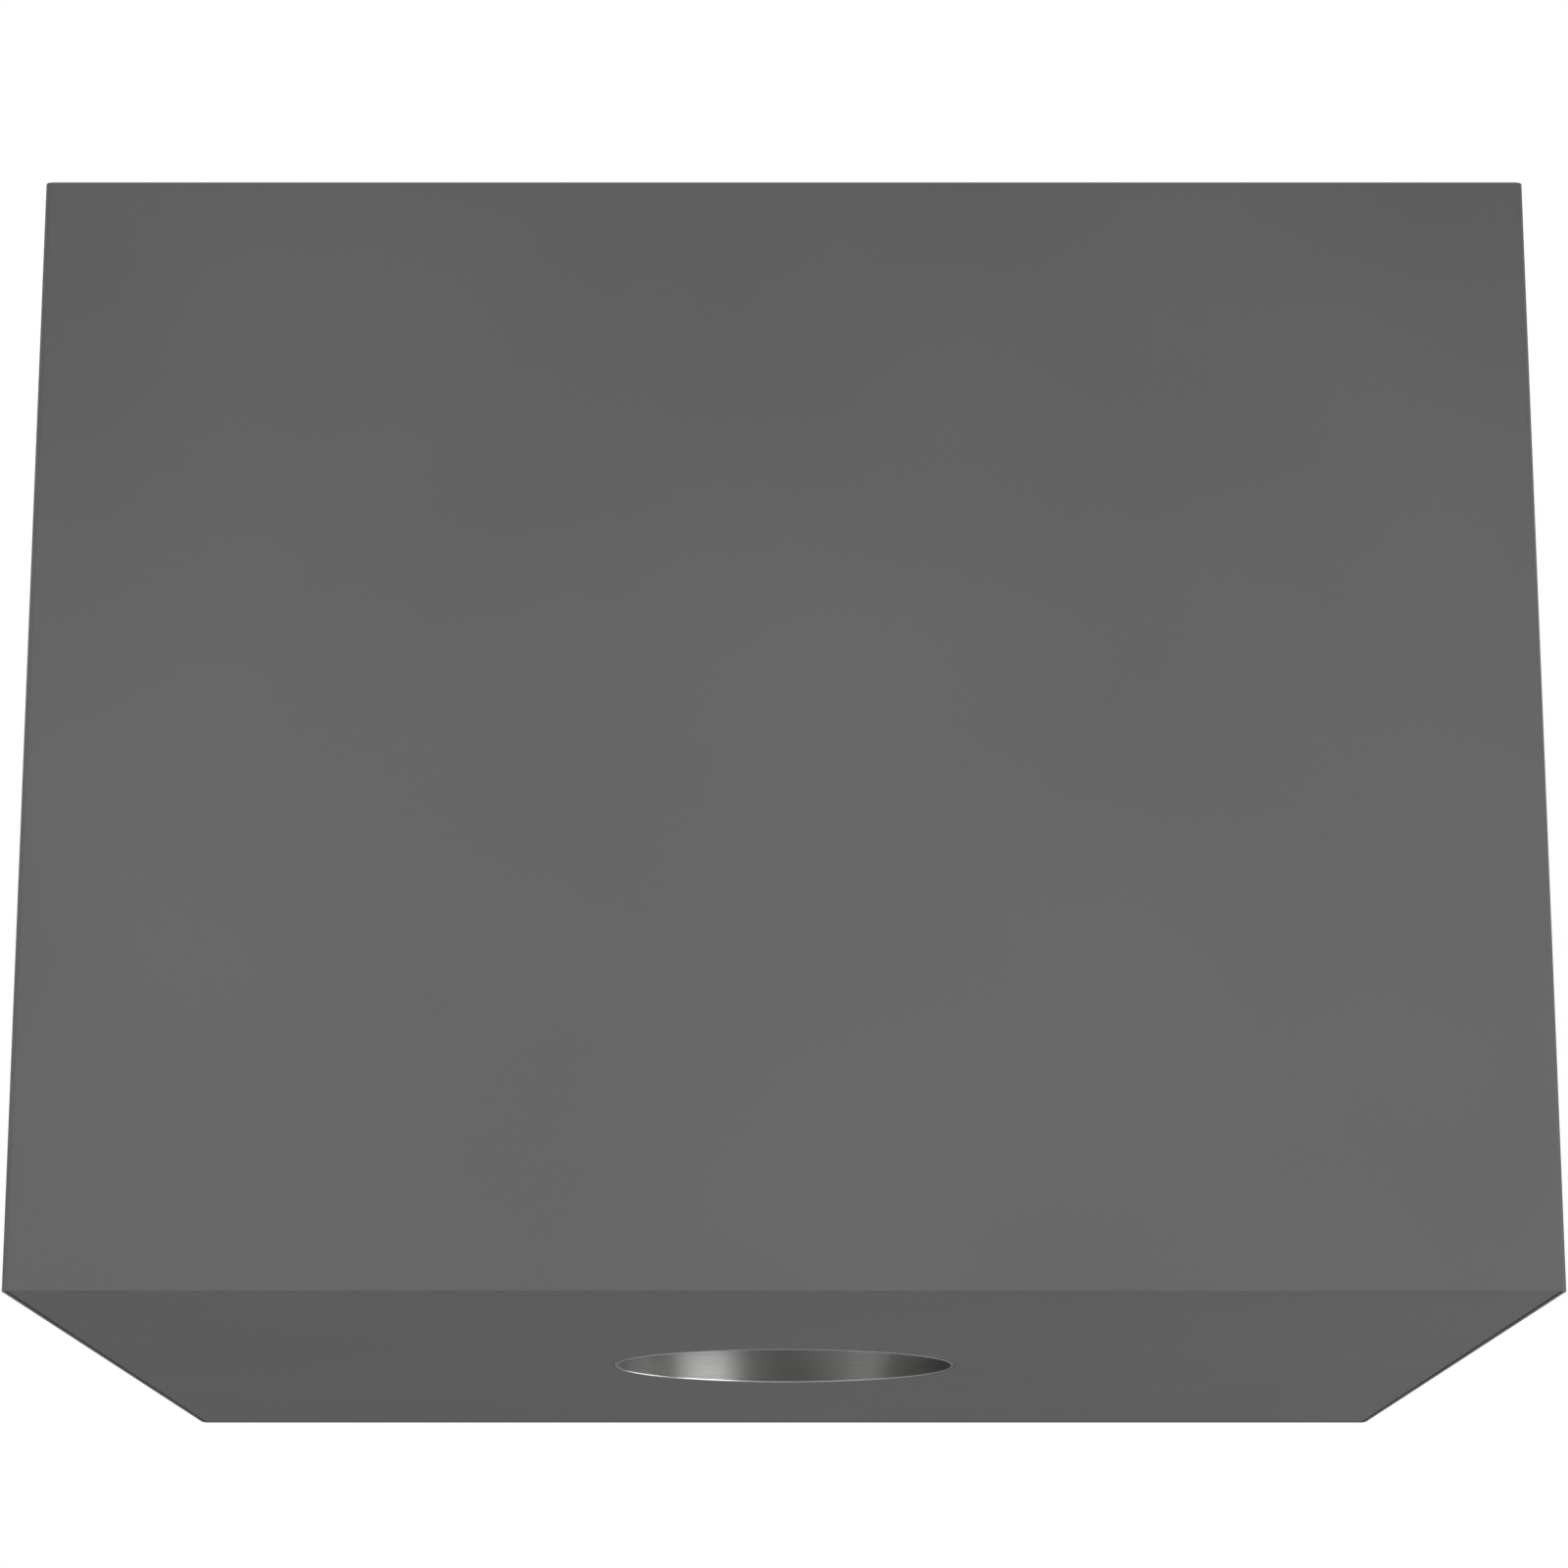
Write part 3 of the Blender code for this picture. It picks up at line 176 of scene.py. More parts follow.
def mill_aluminium():
    """Rolled aluminium with its mill finish: pale and soft, with rolling lines that run one way.
    The lines are 0.1 mm apart; they are drawn 0.8 mm apart."""
    material, tree, place = new_finish("mill_aluminium")
    run, line = 1 / (40 * MM), 1 / (0.8 * MM)
    along = add(tree, "ShaderNodeMapping", {"Vector": place, "Scale": (run, line, line)})
    lines = add(tree, "ShaderNodeTexNoise", {"Vector": along, "Scale": 1.0, "Detail": 2.0})
    return surfaced(material, lines, [(0.3, "#C6C8CA"), (0.7, "#D8DADB")], lines, (0.3, 0.44), Metallic=1.0)


def spun_aluminium():
    """Aluminium turned or spun to shape: fine rings round the axis, drawn 0.6 mm apart."""
    material, tree, _ = new_finish("spun_aluminium")
    place = add(tree, "ShaderNodeUVMap", uv_map="UVMap")
    along = add(tree, "ShaderNodeMapping", {"Vector": place, "Scale": (1 / (60 * MM), 1 / (0.6 * MM), 1.0)})
    rings = add(tree, "ShaderNodeTexNoise", {"Vector": along, "Scale": 1.0, "Detail": 2.0})
    return surfaced(material, rings, [(0.3, "#C8CACC"), (0.7, "#DCDEDF")], rings, (0.24, 0.4),
                    (rings, 0.15, 0.02 * MM), Metallic=1.0)


def enamelled_motor_steel():
    """Dipped black motor enamel over turned steel: half gloss, slightly uneven where it ran."""
    material, tree, place = new_finish("enamelled_motor_steel")
    runs = add(tree, "ShaderNodeTexNoise", {"Vector": place, "Scale": 1 / (6 * MM), "Detail": 2.0})
    return surfaced(material, runs, [(0.3, "#2A2A2C"), (0.7, "#333335")], runs, (0.34, 0.5), IOR=1.5)


def stacked_laminations():
    """Stator of punched silicon steel: thin sheets stacked along the shaft, drawn 1.5 mm apart
    in place of 0.5 mm, with dark varnish between them."""
    material, tree, place = new_finish("stacked_laminations")
    bands = 1 / (math.pi * 1.5 * MM)
    sheets = add(tree, "ShaderNodeTexWave", {"Vector": place, "Scale": bands}, bands_direction="Z")
    tones = [(0.2, "#3A3734"), (0.6, "#77746F")]
    return surfaced(material, sheets.outputs["Fac"], tones, 0.5, Metallic=1.0)


def foam_rubber():
    """Closed-cell foam rubber: black and matt, with skinned-over cells 1 mm across."""
    material, tree, place = new_finish("foam_rubber")
    cells = add(tree, "ShaderNodeTexVoronoi", {"Vector": place, "Scale": 1 / (1.0 * MM)})
    return surfaced(material, cells, [(0.0, "#161616"), (0.8, "#262626")], 0.85,
                    relief=(cells, 0.5, 0.2 * MM), IOR=1.5)


def moulded_plastic(name, dark, pale, rough, spark):
    """Injection-moulded plastic: the mould's spark texture, spark wide, breaks up a soft gloss."""
    material, tree, place = new_finish(name)
    pits = add(tree, "ShaderNodeTexNoise", {"Vector": place, "Scale": 1 / spark, "Detail": 3.0})
    return surfaced(material, pits, [(0.3, dark), (0.7, pale)], pits, (rough - 0.05, rough + 0.08),
                    (pits, 0.3, 0.04 * MM), IOR=1.53)


FINISH = {
    "powder": powder_coated_steel(),
    "brushed": brushed_stainless(),
    "bright": bright_stainless(),
    "galvanised": galvanised_sheet(),
    "zinc": zinc_plate(),
    "mill": mill_aluminium(),
    "spun": spun_aluminium(),
    "enamel": enamelled_motor_steel(),
    "laminated": stacked_laminations(),
    "foam": foam_rubber(),
    "abs": moulded_plastic("moulded_black_abs", "#1B1B1C", "#212122", 0.42, 0.7 * MM),
    "nylon": moulded_plastic("moulded_grey_nylon", "#8E9092", "#979A9C", 0.48, 0.6 * MM),
}


# ---- shapes ----------------------------------------------------------------------------
def eased(points, radius, closed=True, steps=3):
    """Rounds the corners of a 2-D line; radius is one number, or one for each point."""
    radii = radius if isinstance(radius, (list, tuple)) else [radius] * len(points)
    rounded = []
    for index, (point, ease) in enumerate(zip(points, radii)):
        here = Vector(point)
        back, on = Vector(points[index - 1]) - here, Vector(points[(index + 1) % len(points)]) - here
        ends = not closed and index in (0, len(points) - 1)
        if ends or ease <= 0 or back.length < 1e-9 or on.length < 1e-9:
            rounded.append(tuple(point))
            continue
        room = 0.45 * min(back.length, on.length)
        back.normalize()
        on.normalize()
        half = math.acos(max(-1, min(1, back.dot(on)))) / 2
        if half > math.radians(86):
            rounded.append(tuple(point))
            continue
        cut = min(ease / math.tan(half), room)
        centre = here + (back + on).normalized() * (cut / math.cos(half))
        first, last = here + back * cut - centre, here + on * cut - centre
        arc = math.pi - 2 * half
        for step in range(steps + 1):
            share = step / steps
            spoke = first * math.sin((1 - share) * arc) + last * math.sin(share * arc)
            rounded.append(tuple(centre + spoke / math.sin(arc)))
    return rounded


def ring_of(radius, steps, at=(0, 0), turn=0.0):
    spokes = [turn + 2 * math.pi * step / steps for step in range(steps)]
    return [(at[0] + radius * math.cos(a), at[1] + radius * math.sin(a)) for a in spokes]


def rectangle(x0, y0, x1, y1, radius=0.0, steps=5):
    corners = [(x0, y0), (x1, y0), (x1, y1), (x0, y1)]
    return eased(corners, radius, steps=steps) if radius else corners


def spot(u, v, w, axis, at):
    """A point in an outline's plane (u, v) and along its axis (w), in the row frame."""
    place = {"X": (w, u, v), "Y": (u, w, v), "Z": (u, v, w)}[axis]
    return Vector(place) + Vector(at)


def turned(profile, steps, at=(0, 0, 0), axis="Z", sweep=None):
    """A (radius, height) profile turned about an axis, with a UV map in metres.
    A profile that doesn't start and end on the axis is closed on itself."""
    bm = bmesh.new()
    uv = bm.loops.layers.uv.new("UVMap")
    start, stop = sweep or (0.0, 2 * math.pi)
    angles = [start + (stop - start) * step / steps for step in range(steps + 1)]
    widest = max(radius for radius, _ in profile)
    lengths, rings = [0.0], []
    for near, far in zip(profile, profile[1:] + profile[:1]):
        lengths.append(lengths[-1] + math.dist(near, far))
    for radius, height in profile:
        if radius < 1e-9:
            rings.append([bm.verts.new(spot(0, 0, height, axis, at))] * (steps + 1))
            continue
        ring = [
            bm.verts.new(spot(radius * math.cos(a), radius * math.sin(a), height, axis, at))
            for a in (angles if sweep else angles[:-1])
        ]
        rings.append(ring if sweep else ring + ring[:1])
    closed = profile[0][0] > 1e-9 or profile[-1][0] > 1e-9
    for index in range(len(profile) if closed else len(profile) - 1):
        near, far = rings[index], rings[(index + 1) % len(rings)]
        for step in range(steps):
            corners = []
            for vert, turn, row in (
                (near[step], step, index), (far[step], step, index + 1),
                (far[step + 1], step + 1, index + 1), (near[step + 1], step + 1, index),
            ):
                if vert not in [corner[0] for corner in corners]:
                    corners.append((vert, turn, row))
            if len(corners) < 3:
                continue
            face = bm.faces.new([corner[0] for corner in corners])
            for loop, (_, turn, row) in zip(face.loops, corners):
                loop[uv].uv = (angles[turn] * widest, lengths[row])
    if sweep:
        bm.faces.new([ring[0] for ring in rings])
        bm.faces.new([ring[-1] for ring in rings])
    bmesh.ops.recalc_face_normals(bm, faces=bm.faces)
    return bm


def flat_ring(inner, outer, foot, top, ease, steps=LARGE, at=(0, 0, 0), axis="Z"):
    """A turned ring of rectangular section with eased corners."""
    return turned(eased([(inner, foot), (outer, foot), (outer, top), (inner, top)], ease), steps, at, axis)


def prism(outline, start, stop, axis="Z", at=(0, 0, 0)):
    """A closed outline drawn out along an axis, with a UV map in metres: round it, then along it."""
    bm = bmesh.new()
    uv = bm.loops.layers.uv.new("UVMap")
    ends = [[bm.verts.new(spot(u, v, w, axis, at)) for u, v in outline] for w in (start, stop)]
    run = 0.0
    for index, point in enumerate(outline):
        step = math.dist(outline[index - 1], point)
        corners = [(ends[0][index - 1], run, 0), (ends[0][index], run + step, 0),
                   (ends[1][index], run + step, stop - start), (ends[1][index - 1], run, stop - start)]
        face = bm.faces.new([corner[0] for corner in corners])
        for loop, (_, u, v) in zip(face.loops, corners):
            loop[uv].uv = (u, v)
        run += step
    for end in ends:
        face = bm.faces.new(end)
        for loop, point in zip(face.loops, outline):
            loop[uv].uv = point
    bmesh.ops.recalc_face_normals(bm, faces=bm.faces)
    return bm


def folded(line, sheet, bend, steps=5):
    """Outline of a sheet folded along a 2-D line, which is its right-hand face."""
    points = [Vector(point) for point in line]
    ways = [(far - near).normalized() for near, far in zip(points, points[1:])]
    left, near_radii, far_radii = [], [], []
    for index, point in enumerate(points):
        before, after = ways[max(index - 1, 0)], ways[min(index, len(ways) - 1)]
        normal_a, normal_b = Vector((-before.y, before.x)), Vector((-after.y, after.x))
        left.append(tuple(point + (normal_a + normal_b) * sheet / (1 + normal_a.dot(normal_b))))
        turn = before.x * after.y - before.y * after.x
        near_radii.append(0 if index in (0, len(points) - 1) else bend if turn > 0 else bend - sheet)
        far_radii.append(0 if index in (0, len(points) - 1) else bend - sheet if turn > 0 else bend)
    right = eased([tuple(point) for point in points], near_radii, closed=False, steps=steps)
    return right + eased(left, far_radii, closed=False, steps=steps)[::-1]


def plate(outline, holes, start, stop, axis="Z", edge=0.2 * MM, at=(0, 0, 0)):
    """A flat sheet with holes and eased edges; start and stop are its two faces along the axis."""
    curve = bpy.data.curves.new("sheet", "CURVE")
    curve.dimensions, curve.fill_mode = "2D", "BOTH"
    for loop in [outline, *holes]:
        spline = curve.splines.new("POLY")
        spline.points.add(len(loop) - 1)
        for point, (u, v) in zip(spline.points, loop):
            point.co = (u, v, 0, 1)
        spline.use_cyclic_u = True
    curve.extrude, curve.bevel_depth, curve.offset = (stop - start) / 2 - edge, edge, -edge
    curve.bevel_resolution = 1
    holder = bpy.data.objects.new("sheet", curve)
    bpy.context.scene.collection.objects.link(holder)
    graph = bpy.context.evaluated_depsgraph_get()
    mesh = bpy.data.meshes.new_from_object(holder.evaluated_get(graph))
    bm = bmesh.new()
    bm.from_mesh(mesh)
    bpy.data.objects.remove(holder)
    bpy.data.curves.remove(curve)
    bpy.data.meshes.remove(mesh)
    for vert in bm.verts:
        u, v, w = vert.co
        vert.co = spot(u, v, (start + stop) / 2 + w, axis, at)
    bmesh.ops.remove_doubles(bm, verts=bm.verts, dist=1e-6)
    bmesh.ops.recalc_face_normals(bm, faces=bm.faces)
    return bm


def own_shape(node):
    """A node's own shape as one clean skin, without the lines across its flat faces."""
    bm = bmesh.new()
    bm.from_mesh(frame["nodes"][node].data)
    bmesh.ops.remove_doubles(bm, verts=bm.verts, dist=1e-6)
    bmesh.ops.dissolve_limit(bm, angle_limit=math.radians(0.5), verts=bm.verts, edges=bm.edges)
    return bm


def together(*shapes):
    """Several shapes as one."""
    whole = bmesh.new()
    for shape in shapes:
        mesh = bpy.data.meshes.new("part")
        shape.to_mesh(mesh)
        shape.free()
        whole.from_mesh(mesh)
        bpy.data.meshes.remove(mesh)
    return whole


def holder_of(name, shape):
    mesh = bpy.data.meshes.new(name)
    shape.to_mesh(mesh)
    shape.free()
    return bpy.data.objects.new(name, mesh)


def settle(obj):
    """Makes what the object's modifiers give its own plain mesh."""
    graph = bpy.context.evaluated_depsgraph_get()
    mesh = bpy.data.meshes.new_from_object(
        obj.evaluated_get(graph), preserve_all_data_layers=True, depsgraph=graph
    )
    obj.modifiers.clear()
    obj.data = mesh


def carved(shape, *cutters):
    """A shape with other shapes cut out of it."""
    body, tool = holder_of("body", shape), holder_of("tool", together(*cutters))
    for obj in (body, tool):
        bpy.context.scene.collection.objects.link(obj)
    cut = body.modifiers.new("cut", "BOOLEAN")
    cut.object, cut.operation, cut.solver = tool, "DIFFERENCE", "EXACT"
    settle(body)
    bm = bmesh.new()
    bm.from_mesh(body.data)
    for obj in (body, tool):
        bpy.data.objects.remove(obj)
    return bm


def given_to(obj, finish, stands_for, on, smooth):
    """Last steps of every piece: its finish, its shading, its body, what it replaces."""
    mesh = obj.data
    mesh.materials.clear()
    mesh.materials.append(FINISH[finish])
    mesh.polygons.foreach_set("use_smooth", [True] * len(mesh.polygons))
    mesh.set_sharp_from_angle(angle=math.radians(smooth))
    even = obj.modifiers.new("even", "WEIGHTED_NORMAL")  # flat faces stay flat beside eased edges
    even.weight, even.keep_sharp = 100, True
    settle(obj)
    host = on or stands_for[0]
    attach(obj, BODY[host])
    if stands_for:
        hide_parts(*stands_for)
    return obj


def piece(name, shape, finish, stands_for=(), on=None, edge=0.0, smooth=35):
    """A finished piece; edge breaks its sharp edges by that much."""
    obj = holder_of(name, shape)
    bpy.context.scene.collection.objects.link(obj)
    if edge:
        bevel = obj.modifiers.new("edges", "BEVEL")
        bevel.width, bevel.segments = edge, 2
        bevel.limit_method, bevel.angle_limit = "ANGLE", math.radians(40)
        settle(obj)
    return given_to(obj, finish, stands_for, on, smooth)


def softened(node, name, finish, edge):
    """A node in its own shape, with its edges broken as folding or deburring leaves them."""
    return piece(name, own_shape(node), finish, (node,), edge=edge)


def kept(node, finish):
    """A node whose shape is right as it is; it only gets its finish."""
    materials = frame["nodes"][node].data.materials
    materials.clear()
    materials.append(FINISH[finish])


# ---- repeated shapes -------------------------------------------------------------------
def new_tree(name, inputs):
    """A geometry tree with those inputs (name, kind, value) and one output."""
    tree = bpy.data.node_groups.new(name, "GeometryNodeTree")
    for label, kind, value in inputs:
        socket = tree.interface.new_socket(label, in_out="INPUT", socket_type=kind)
        if value is not None:
            socket.default_value = value
    tree.interface.new_socket("Made", in_out="OUTPUT", socket_type="NodeSocketGeometry")
    return tree, add(tree, "NodeGroupInput").outputs


def closed_off(tree, geometry, finish):
    """Ends a tree: real faces, one material, out."""
    real = add(tree, "GeometryNodeRealizeInstances", {"Geometry": geometry})
    coat = add(tree, "GeometryNodeSetMaterial", {"Geometry": real, "Material": finish})
    add(tree, "NodeGroupOutput", {"Made": coat})
    return tree


def fixings_tree():
    """A head on every point of the input, all turned and sized alike."""
    tree, given = new_tree("fixings_on_points", [
        ("Points", "NodeSocketGeometry", None), ("Head", "NodeSocketObject", None),
        ("Turn", "NodeSocketVector", None), ("Size", "NodeSocketFloat", 1.0),
        ("Finish", "NodeSocketMaterial", None),
    ])
    head = add(tree, "GeometryNodeObjectInfo", {"Object": given["Head"]})
    set_on = add(tree, "GeometryNodeInstanceOnPoints", {
        "Points": given["Points"], "Instance": head.outputs["Geometry"],
        "Rotation": given["Turn"], "Scale": given["Size"],
    })
    return closed_off(tree, set_on, given["Finish"])


def woven_tree():
    """A round pad of wires that cross over and under each other."""
    tree, given = new_tree("woven_wire_disc", [
        ("Radius", "NodeSocketFloat", 0.07), ("Pitch", "NodeSocketFloat", 0.005),
        ("Wire", "NodeSocketFloat", 0.0005), ("Rise", "NodeSocketFloat", 0.0006),
        ("Height", "NodeSocketFloat", 0.0), ("Finish", "NodeSocketMaterial", None),
    ])
    pitches = add(tree, "ShaderNodeMath", {0: given["Radius"], 1: given["Pitch"]}, operation="DIVIDE")
    edge = add(tree, "ShaderNodeMath", {0: pitches, 1: 0.6}, operation="SUBTRACT")
    half = add(tree, "ShaderNodeMath", {0: edge}, operation="FLOOR")  # wires on each side of the middle
    count = add(tree, "ShaderNodeMath", {0: half, 1: 2.0, 2: 1.0}, operation="MULTIPLY_ADD")
    reach = add(tree, "ShaderNodeMath", {0: half, 1: given["Pitch"]}, operation="MULTIPLY")
    across = add(tree, "ShaderNodeMath", {0: math.pi, 1: given["Pitch"]}, operation="DIVIDE")
    thread = add(tree, "GeometryNodeMeshLine",
                 {"Count": 129, "Start Location": (-1, 0, 0), "Offset": (2 / 128, 0, 0)})
    section = add(tree, "GeometryNodeCurvePrimitiveCircle", {"Resolution": 5, "Radius": given["Wire"]})
    layers, known = [], dict(given.items(), across=across)
    for shift, way, turn, waves in (
        (0.0, 1.0, 0.0, ("SINE", "COSINE")), (0.5, -1.0, math.pi / 2, ("COSINE", "SINE")),
    ):
        aside = add(tree, "ShaderNodeMath", {0: given["Pitch"], 1: shift}, operation="MULTIPLY")
        start = add(tree, "ShaderNodeMath", {0: aside, 1: reach}, operation="SUBTRACT")
        row = add(tree, "GeometryNodeMeshLine", {
            "Count": count, "Start Location": add(tree, "ShaderNodeCombineXYZ", {"Y": start}),
            "Offset": add(tree, "ShaderNodeCombineXYZ", {"Y": given["Pitch"]}),
        })
        laid = add(tree, "GeometryNodeInstanceOnPoints", {"Points": row, "Instance": thread})
        real = add(tree, "GeometryNodeRealizeInstances", {"Geometry": laid})
        place = add(tree, "ShaderNodeSeparateXYZ", {0: add(tree, "GeometryNodeInputPosition")}).outputs
        known.update(place.items())
        for label, operation, *values in (  # each row of wires, shortened to the disc and waved
            ("share", "DIVIDE", "Y", "Radius"), ("angle", "ARCSINE", "share"), ("chord", "COSINE", "angle"),
            ("longest", "MULTIPLY", "X", "Radius"), ("along", "MULTIPLY", "longest", "chord"),
            ("wave", "MULTIPLY", "along", "across"), ("row_wave", "MULTIPLY", "Y", "across"),
            ("over", waves[0], "wave"), ("swap", waves[1], "row_wave"), ("weave", "MULTIPLY", "over", "swap"),
            ("rise", "MULTIPLY", "Rise", way), ("lift", "MULTIPLY", "weave", "rise"),
        ):
            inputs = {index: known.get(value, value) for index, value in enumerate(values)}
            known[label] = add(tree, "ShaderNodeMath", inputs, operation=operation)
        bent = add(tree, "ShaderNodeCombineXYZ", {"X": known["along"], "Y": known["Y"], "Z": known["lift"]})
        shaped = add(tree, "GeometryNodeSetPosition", {"Geometry": real, "Position": bent})
        path = add(tree, "GeometryNodeMeshToCurve", {"Mesh": shaped})
        wires = add(tree, "GeometryNodeCurveToMesh",
                    {"Curve": path, "Profile Curve": section, "Fill Caps": True})
        layers.append(add(tree, "GeometryNodeTransform", {
            "Geometry": wires, "Rotation": (0, 0, turn),
            "Translation": add(tree, "ShaderNodeCombineXYZ", {"Z": given["Height"]}),
        }))
    pad = add(tree, "GeometryNodeJoinGeometry")
    for layer in layers[::-1]:
        tree.links.new(layer.outputs[0], pad.inputs[0])
    return closed_off(tree, pad, given["Finish"])


def grown(name, tree, values, finish, stands_for=(), on=None, points=(), smooth=35):
    """A piece made by a geometry tree, settled to a plain mesh."""
    mesh = bpy.data.meshes.new(name)
    mesh.from_pydata([tuple(point) for point in points], [], [])
    obj = bpy.data.objects.new(name, mesh)
    modifier = obj.modifiers.new("grown", "NODES")
    modifier.node_group = tree
    for item in tree.interface.items_tree:
        if item.in_out == "INPUT" and item.name in values:
            modifier[item.identifier] = values[item.name]
        elif item.in_out == "INPUT" and item.name == "Finish":
            modifier[item.identifier] = FINISH[finish]
    bpy.context.scene.collection.objects.link(obj)
    settle(obj)
    return given_to(obj, finish, stands_for, on, smooth)


FIXINGS, WOVEN = fixings_tree(), woven_tree()
FACING = {"+Z": (0, 0, 0), "-Z": (math.pi, 0, 0), "+Y": (-math.pi / 2, 0, 0), "-Y": (math.pi / 2, 0, 0),
          "+X": (0, math.pi / 2, 0), "-X": (0, -math.pi / 2, 0)}


def pan_head(radius=3.6 * MM, height=2.2 * MM):
    """Pan-head screw with a cross recess, seated at the origin and facing +Z."""
    side = 0.55 * height
    profile = [(0, 0), (radius, 0), (radius, side), (0.86 * radius, 0.86 * height),
               (0.5 * radius, height), (0, height)]
    arms = [
        prism(rectangle(-u, -v, u, v), height - 1.1 * MM, height + MM)
        for u, v in ((0.5 * radius, 0.13 * radius), (0.13 * radius, 0.5 * radius))
    ]
    cross = carved(turned(profile, 16), arms[0])
    return holder_of("pan_head", carved(cross, arms[1]))


def rivet_head(radius=2.4 * MM, height=1.0 * MM):
    """Domed blind-rivet head with the stub of its pin, facing +Z."""
    profile = [(0, 0), (radius, 0), (0.92 * radius, 0.45 * height), (0.6 * radius, height),
               (0.36 * radius, height), (0.32 * radius, 0.7 * height), (0, 0.7 * height)]
    return holder_of("rivet_head", turned(profile, 12))


def fixings(name, head, points, facing, on, size=1.0):
    """Screws or rivets of one kind, one on each point, as one piece."""
    values = {"Head": head, "Turn": FACING[facing], "Size": size}
    return grown(name, FIXINGS, values, "zinc", on=on, points=points)


PAN, RIVET = pan_head(), rivet_head()


# ---- casing ----------------------------------------------------------------------------
def casing():
    softened("canopy_wrap", "canopy_sheet", "powder", 0.25 * MM)
    softened("top_plate", "top_pan", "powder", 0.4 * MM)
    for side in ("front", "left", "right"):
        softened(f"rim_{side}", f"rim_angle_{side}", "galvanised", 0.2 * MM)
    wall, corner = low("rear_panel"), high("rear_panel")
    keys = [middle(f"key_{index}") for index in range(1, 5)]
    holes = [ring_of(8.4 * MM, 48, (key.x, key.z)) for key in keys]
    outline = rectangle(wall.x, wall.z, corner.x, corner.z, 1.2 * MM)
    piece("rear_sheet", plate(outline, holes, wall.y, corner.y, "Y", 0.25 * MM), "powder", ("rear_panel",))
    inset, rows = 7.5 * MM, 6
    edge_x, top = corner.x - inset, corner.z - 11 * MM
    sides = [
        (side * edge_x, corner.y, 24 * MM + (top - 24 * MM) * row / (rows - 1))
        for side in (-1, 1) for row in range(rows)
    ]
    across = [(edge_x * share, corner.y, top) for share in (-0.6, -0.2, 0.2, 0.6)]
    fixings("rear_screws", PAN, sides + across, "+Y", "rear_panel")


def rails():
    """Ceiling rails with screw slots in the face that meets the ceiling."""
    for side in ("left", "right"):
        node = f"mounting_rail_{side}"
        foot, top, centre = low(node), high(node), middle(node)
        slots = []
        for place in (-0.85, -0.55, -0.25, 0.25, 0.55, 0.85):
            y = place * (top.y - foot.y) / 2
            loop = rectangle(centre.x - 4.5 * MM, y - 11 * MM, centre.x + 4.5 * MM, y + 11 * MM, 4.4 * MM)
            slots.append(prism(loop, top.z - 4 * MM, top.z + MM))
        piece(f"slotted_rail_{side}", carved(own_shape(node), *slots), "galvanised", (node,), edge=0.2 * MM)


# ---- hinges, catches, bottom panel, throat ---------------------------------------------
def bottom():
    for side in ("left", "right"):
        softened(f"hinge_fixed_leaf_{side}", f"upright_leaf_{side}", "zinc", 0.12 * MM)
        softened(f"hinge_panel_leaf_{side}", f"flat_leaf_{side}", "zinc", 0.12 * MM)
        kept(f"hinge_pin_{side}", "zinc")
        softened(f"magnet_catch_{side}", f"magnet_block_{side}", "abs", 0.6 * MM)
        softened(f"strike_plate_{side}", f"strike_{side}", "zinc", 0.12 * MM)
    foot, top = low("bottom_panel"), high("bottom_panel")
    hole = ring_of(77.7 * MM, LARGE)
    outline = rectangle(foot.x, foot.y, top.x, top.y, 1.5 * MM)
    piece("bottom_sheet", plate(outline, [hole], foot.z, top.z, "Z", 0.25 * MM), "powder", ("bottom_panel",))
    leaves = [low("hinge_panel_leaf_left"), low("hinge_panel_leaf_right")]
    face = 2.8 * MM
    spots = [(leaf.x + shift * MM, leaf.y + 8 * MM, face) for leaf in leaves for shift in (10, 30, 50)]
    fixings("leaf_rivets", RIVET, spots, "+Z", "bottom_panel")


def throat():
    bore, wall, height = 76.2 * MM, 1.2 * MM, high("throat_ring").z
    seat, flange_r, lip_r, bead = 1.8 * MM, 95 * MM, 90 * MM, 46.3 * MM
    outer = bore + wall
    profile = [
        (bore + wall / 2, 0), (bore + 0.12 * wall, 0.12 * wall), (bore, 0.5 * wall), (bore, bead),
        (bore - 1.4 * MM, bead + 0.4 * MM), (bore - 2 * MM, bead + MM), (bore - 1.4 * MM, bead + 1.6 * MM),
        (bore, bead + 2 * MM), (bore, height - 1.5 * MM), (bore + 0.5 * MM, height - 0.4 * MM),
        (bore + 1.5 * MM, height), (lip_r, height), (lip_r, height - wall), (outer + MM, height - wall),
        (outer, height - wall - MM), (outer, seat + wall + MM), (outer + MM, seat + wall),
        (flange_r, seat + wall), (flange_r, seat), (outer, seat), (outer, 0.3 * wall),
        (outer - 0.15 * wall, 0.1 * wall), (outer - 0.4 * wall, 0),
    ]
    piece("throat_lining", turned(profile, LARGE + 32), "brushed", ("throat_ring",), smooth=30)
    spots = [(r[0], r[1], seat + wall) for r in ring_of(88 * MM, 8, turn=math.pi / 8)]
    fixings("throat_rivets", RIVET, spots, "+Z", "throat_ring")
    foot, top = heights("throat_gasket")
    ring = flat_ring(77.4 * MM, 86.4 * MM, foot, top, 1.2 * MM, MIDDLE)
    piece("gasket_ring", ring, "foam", ("throat_gasket",))


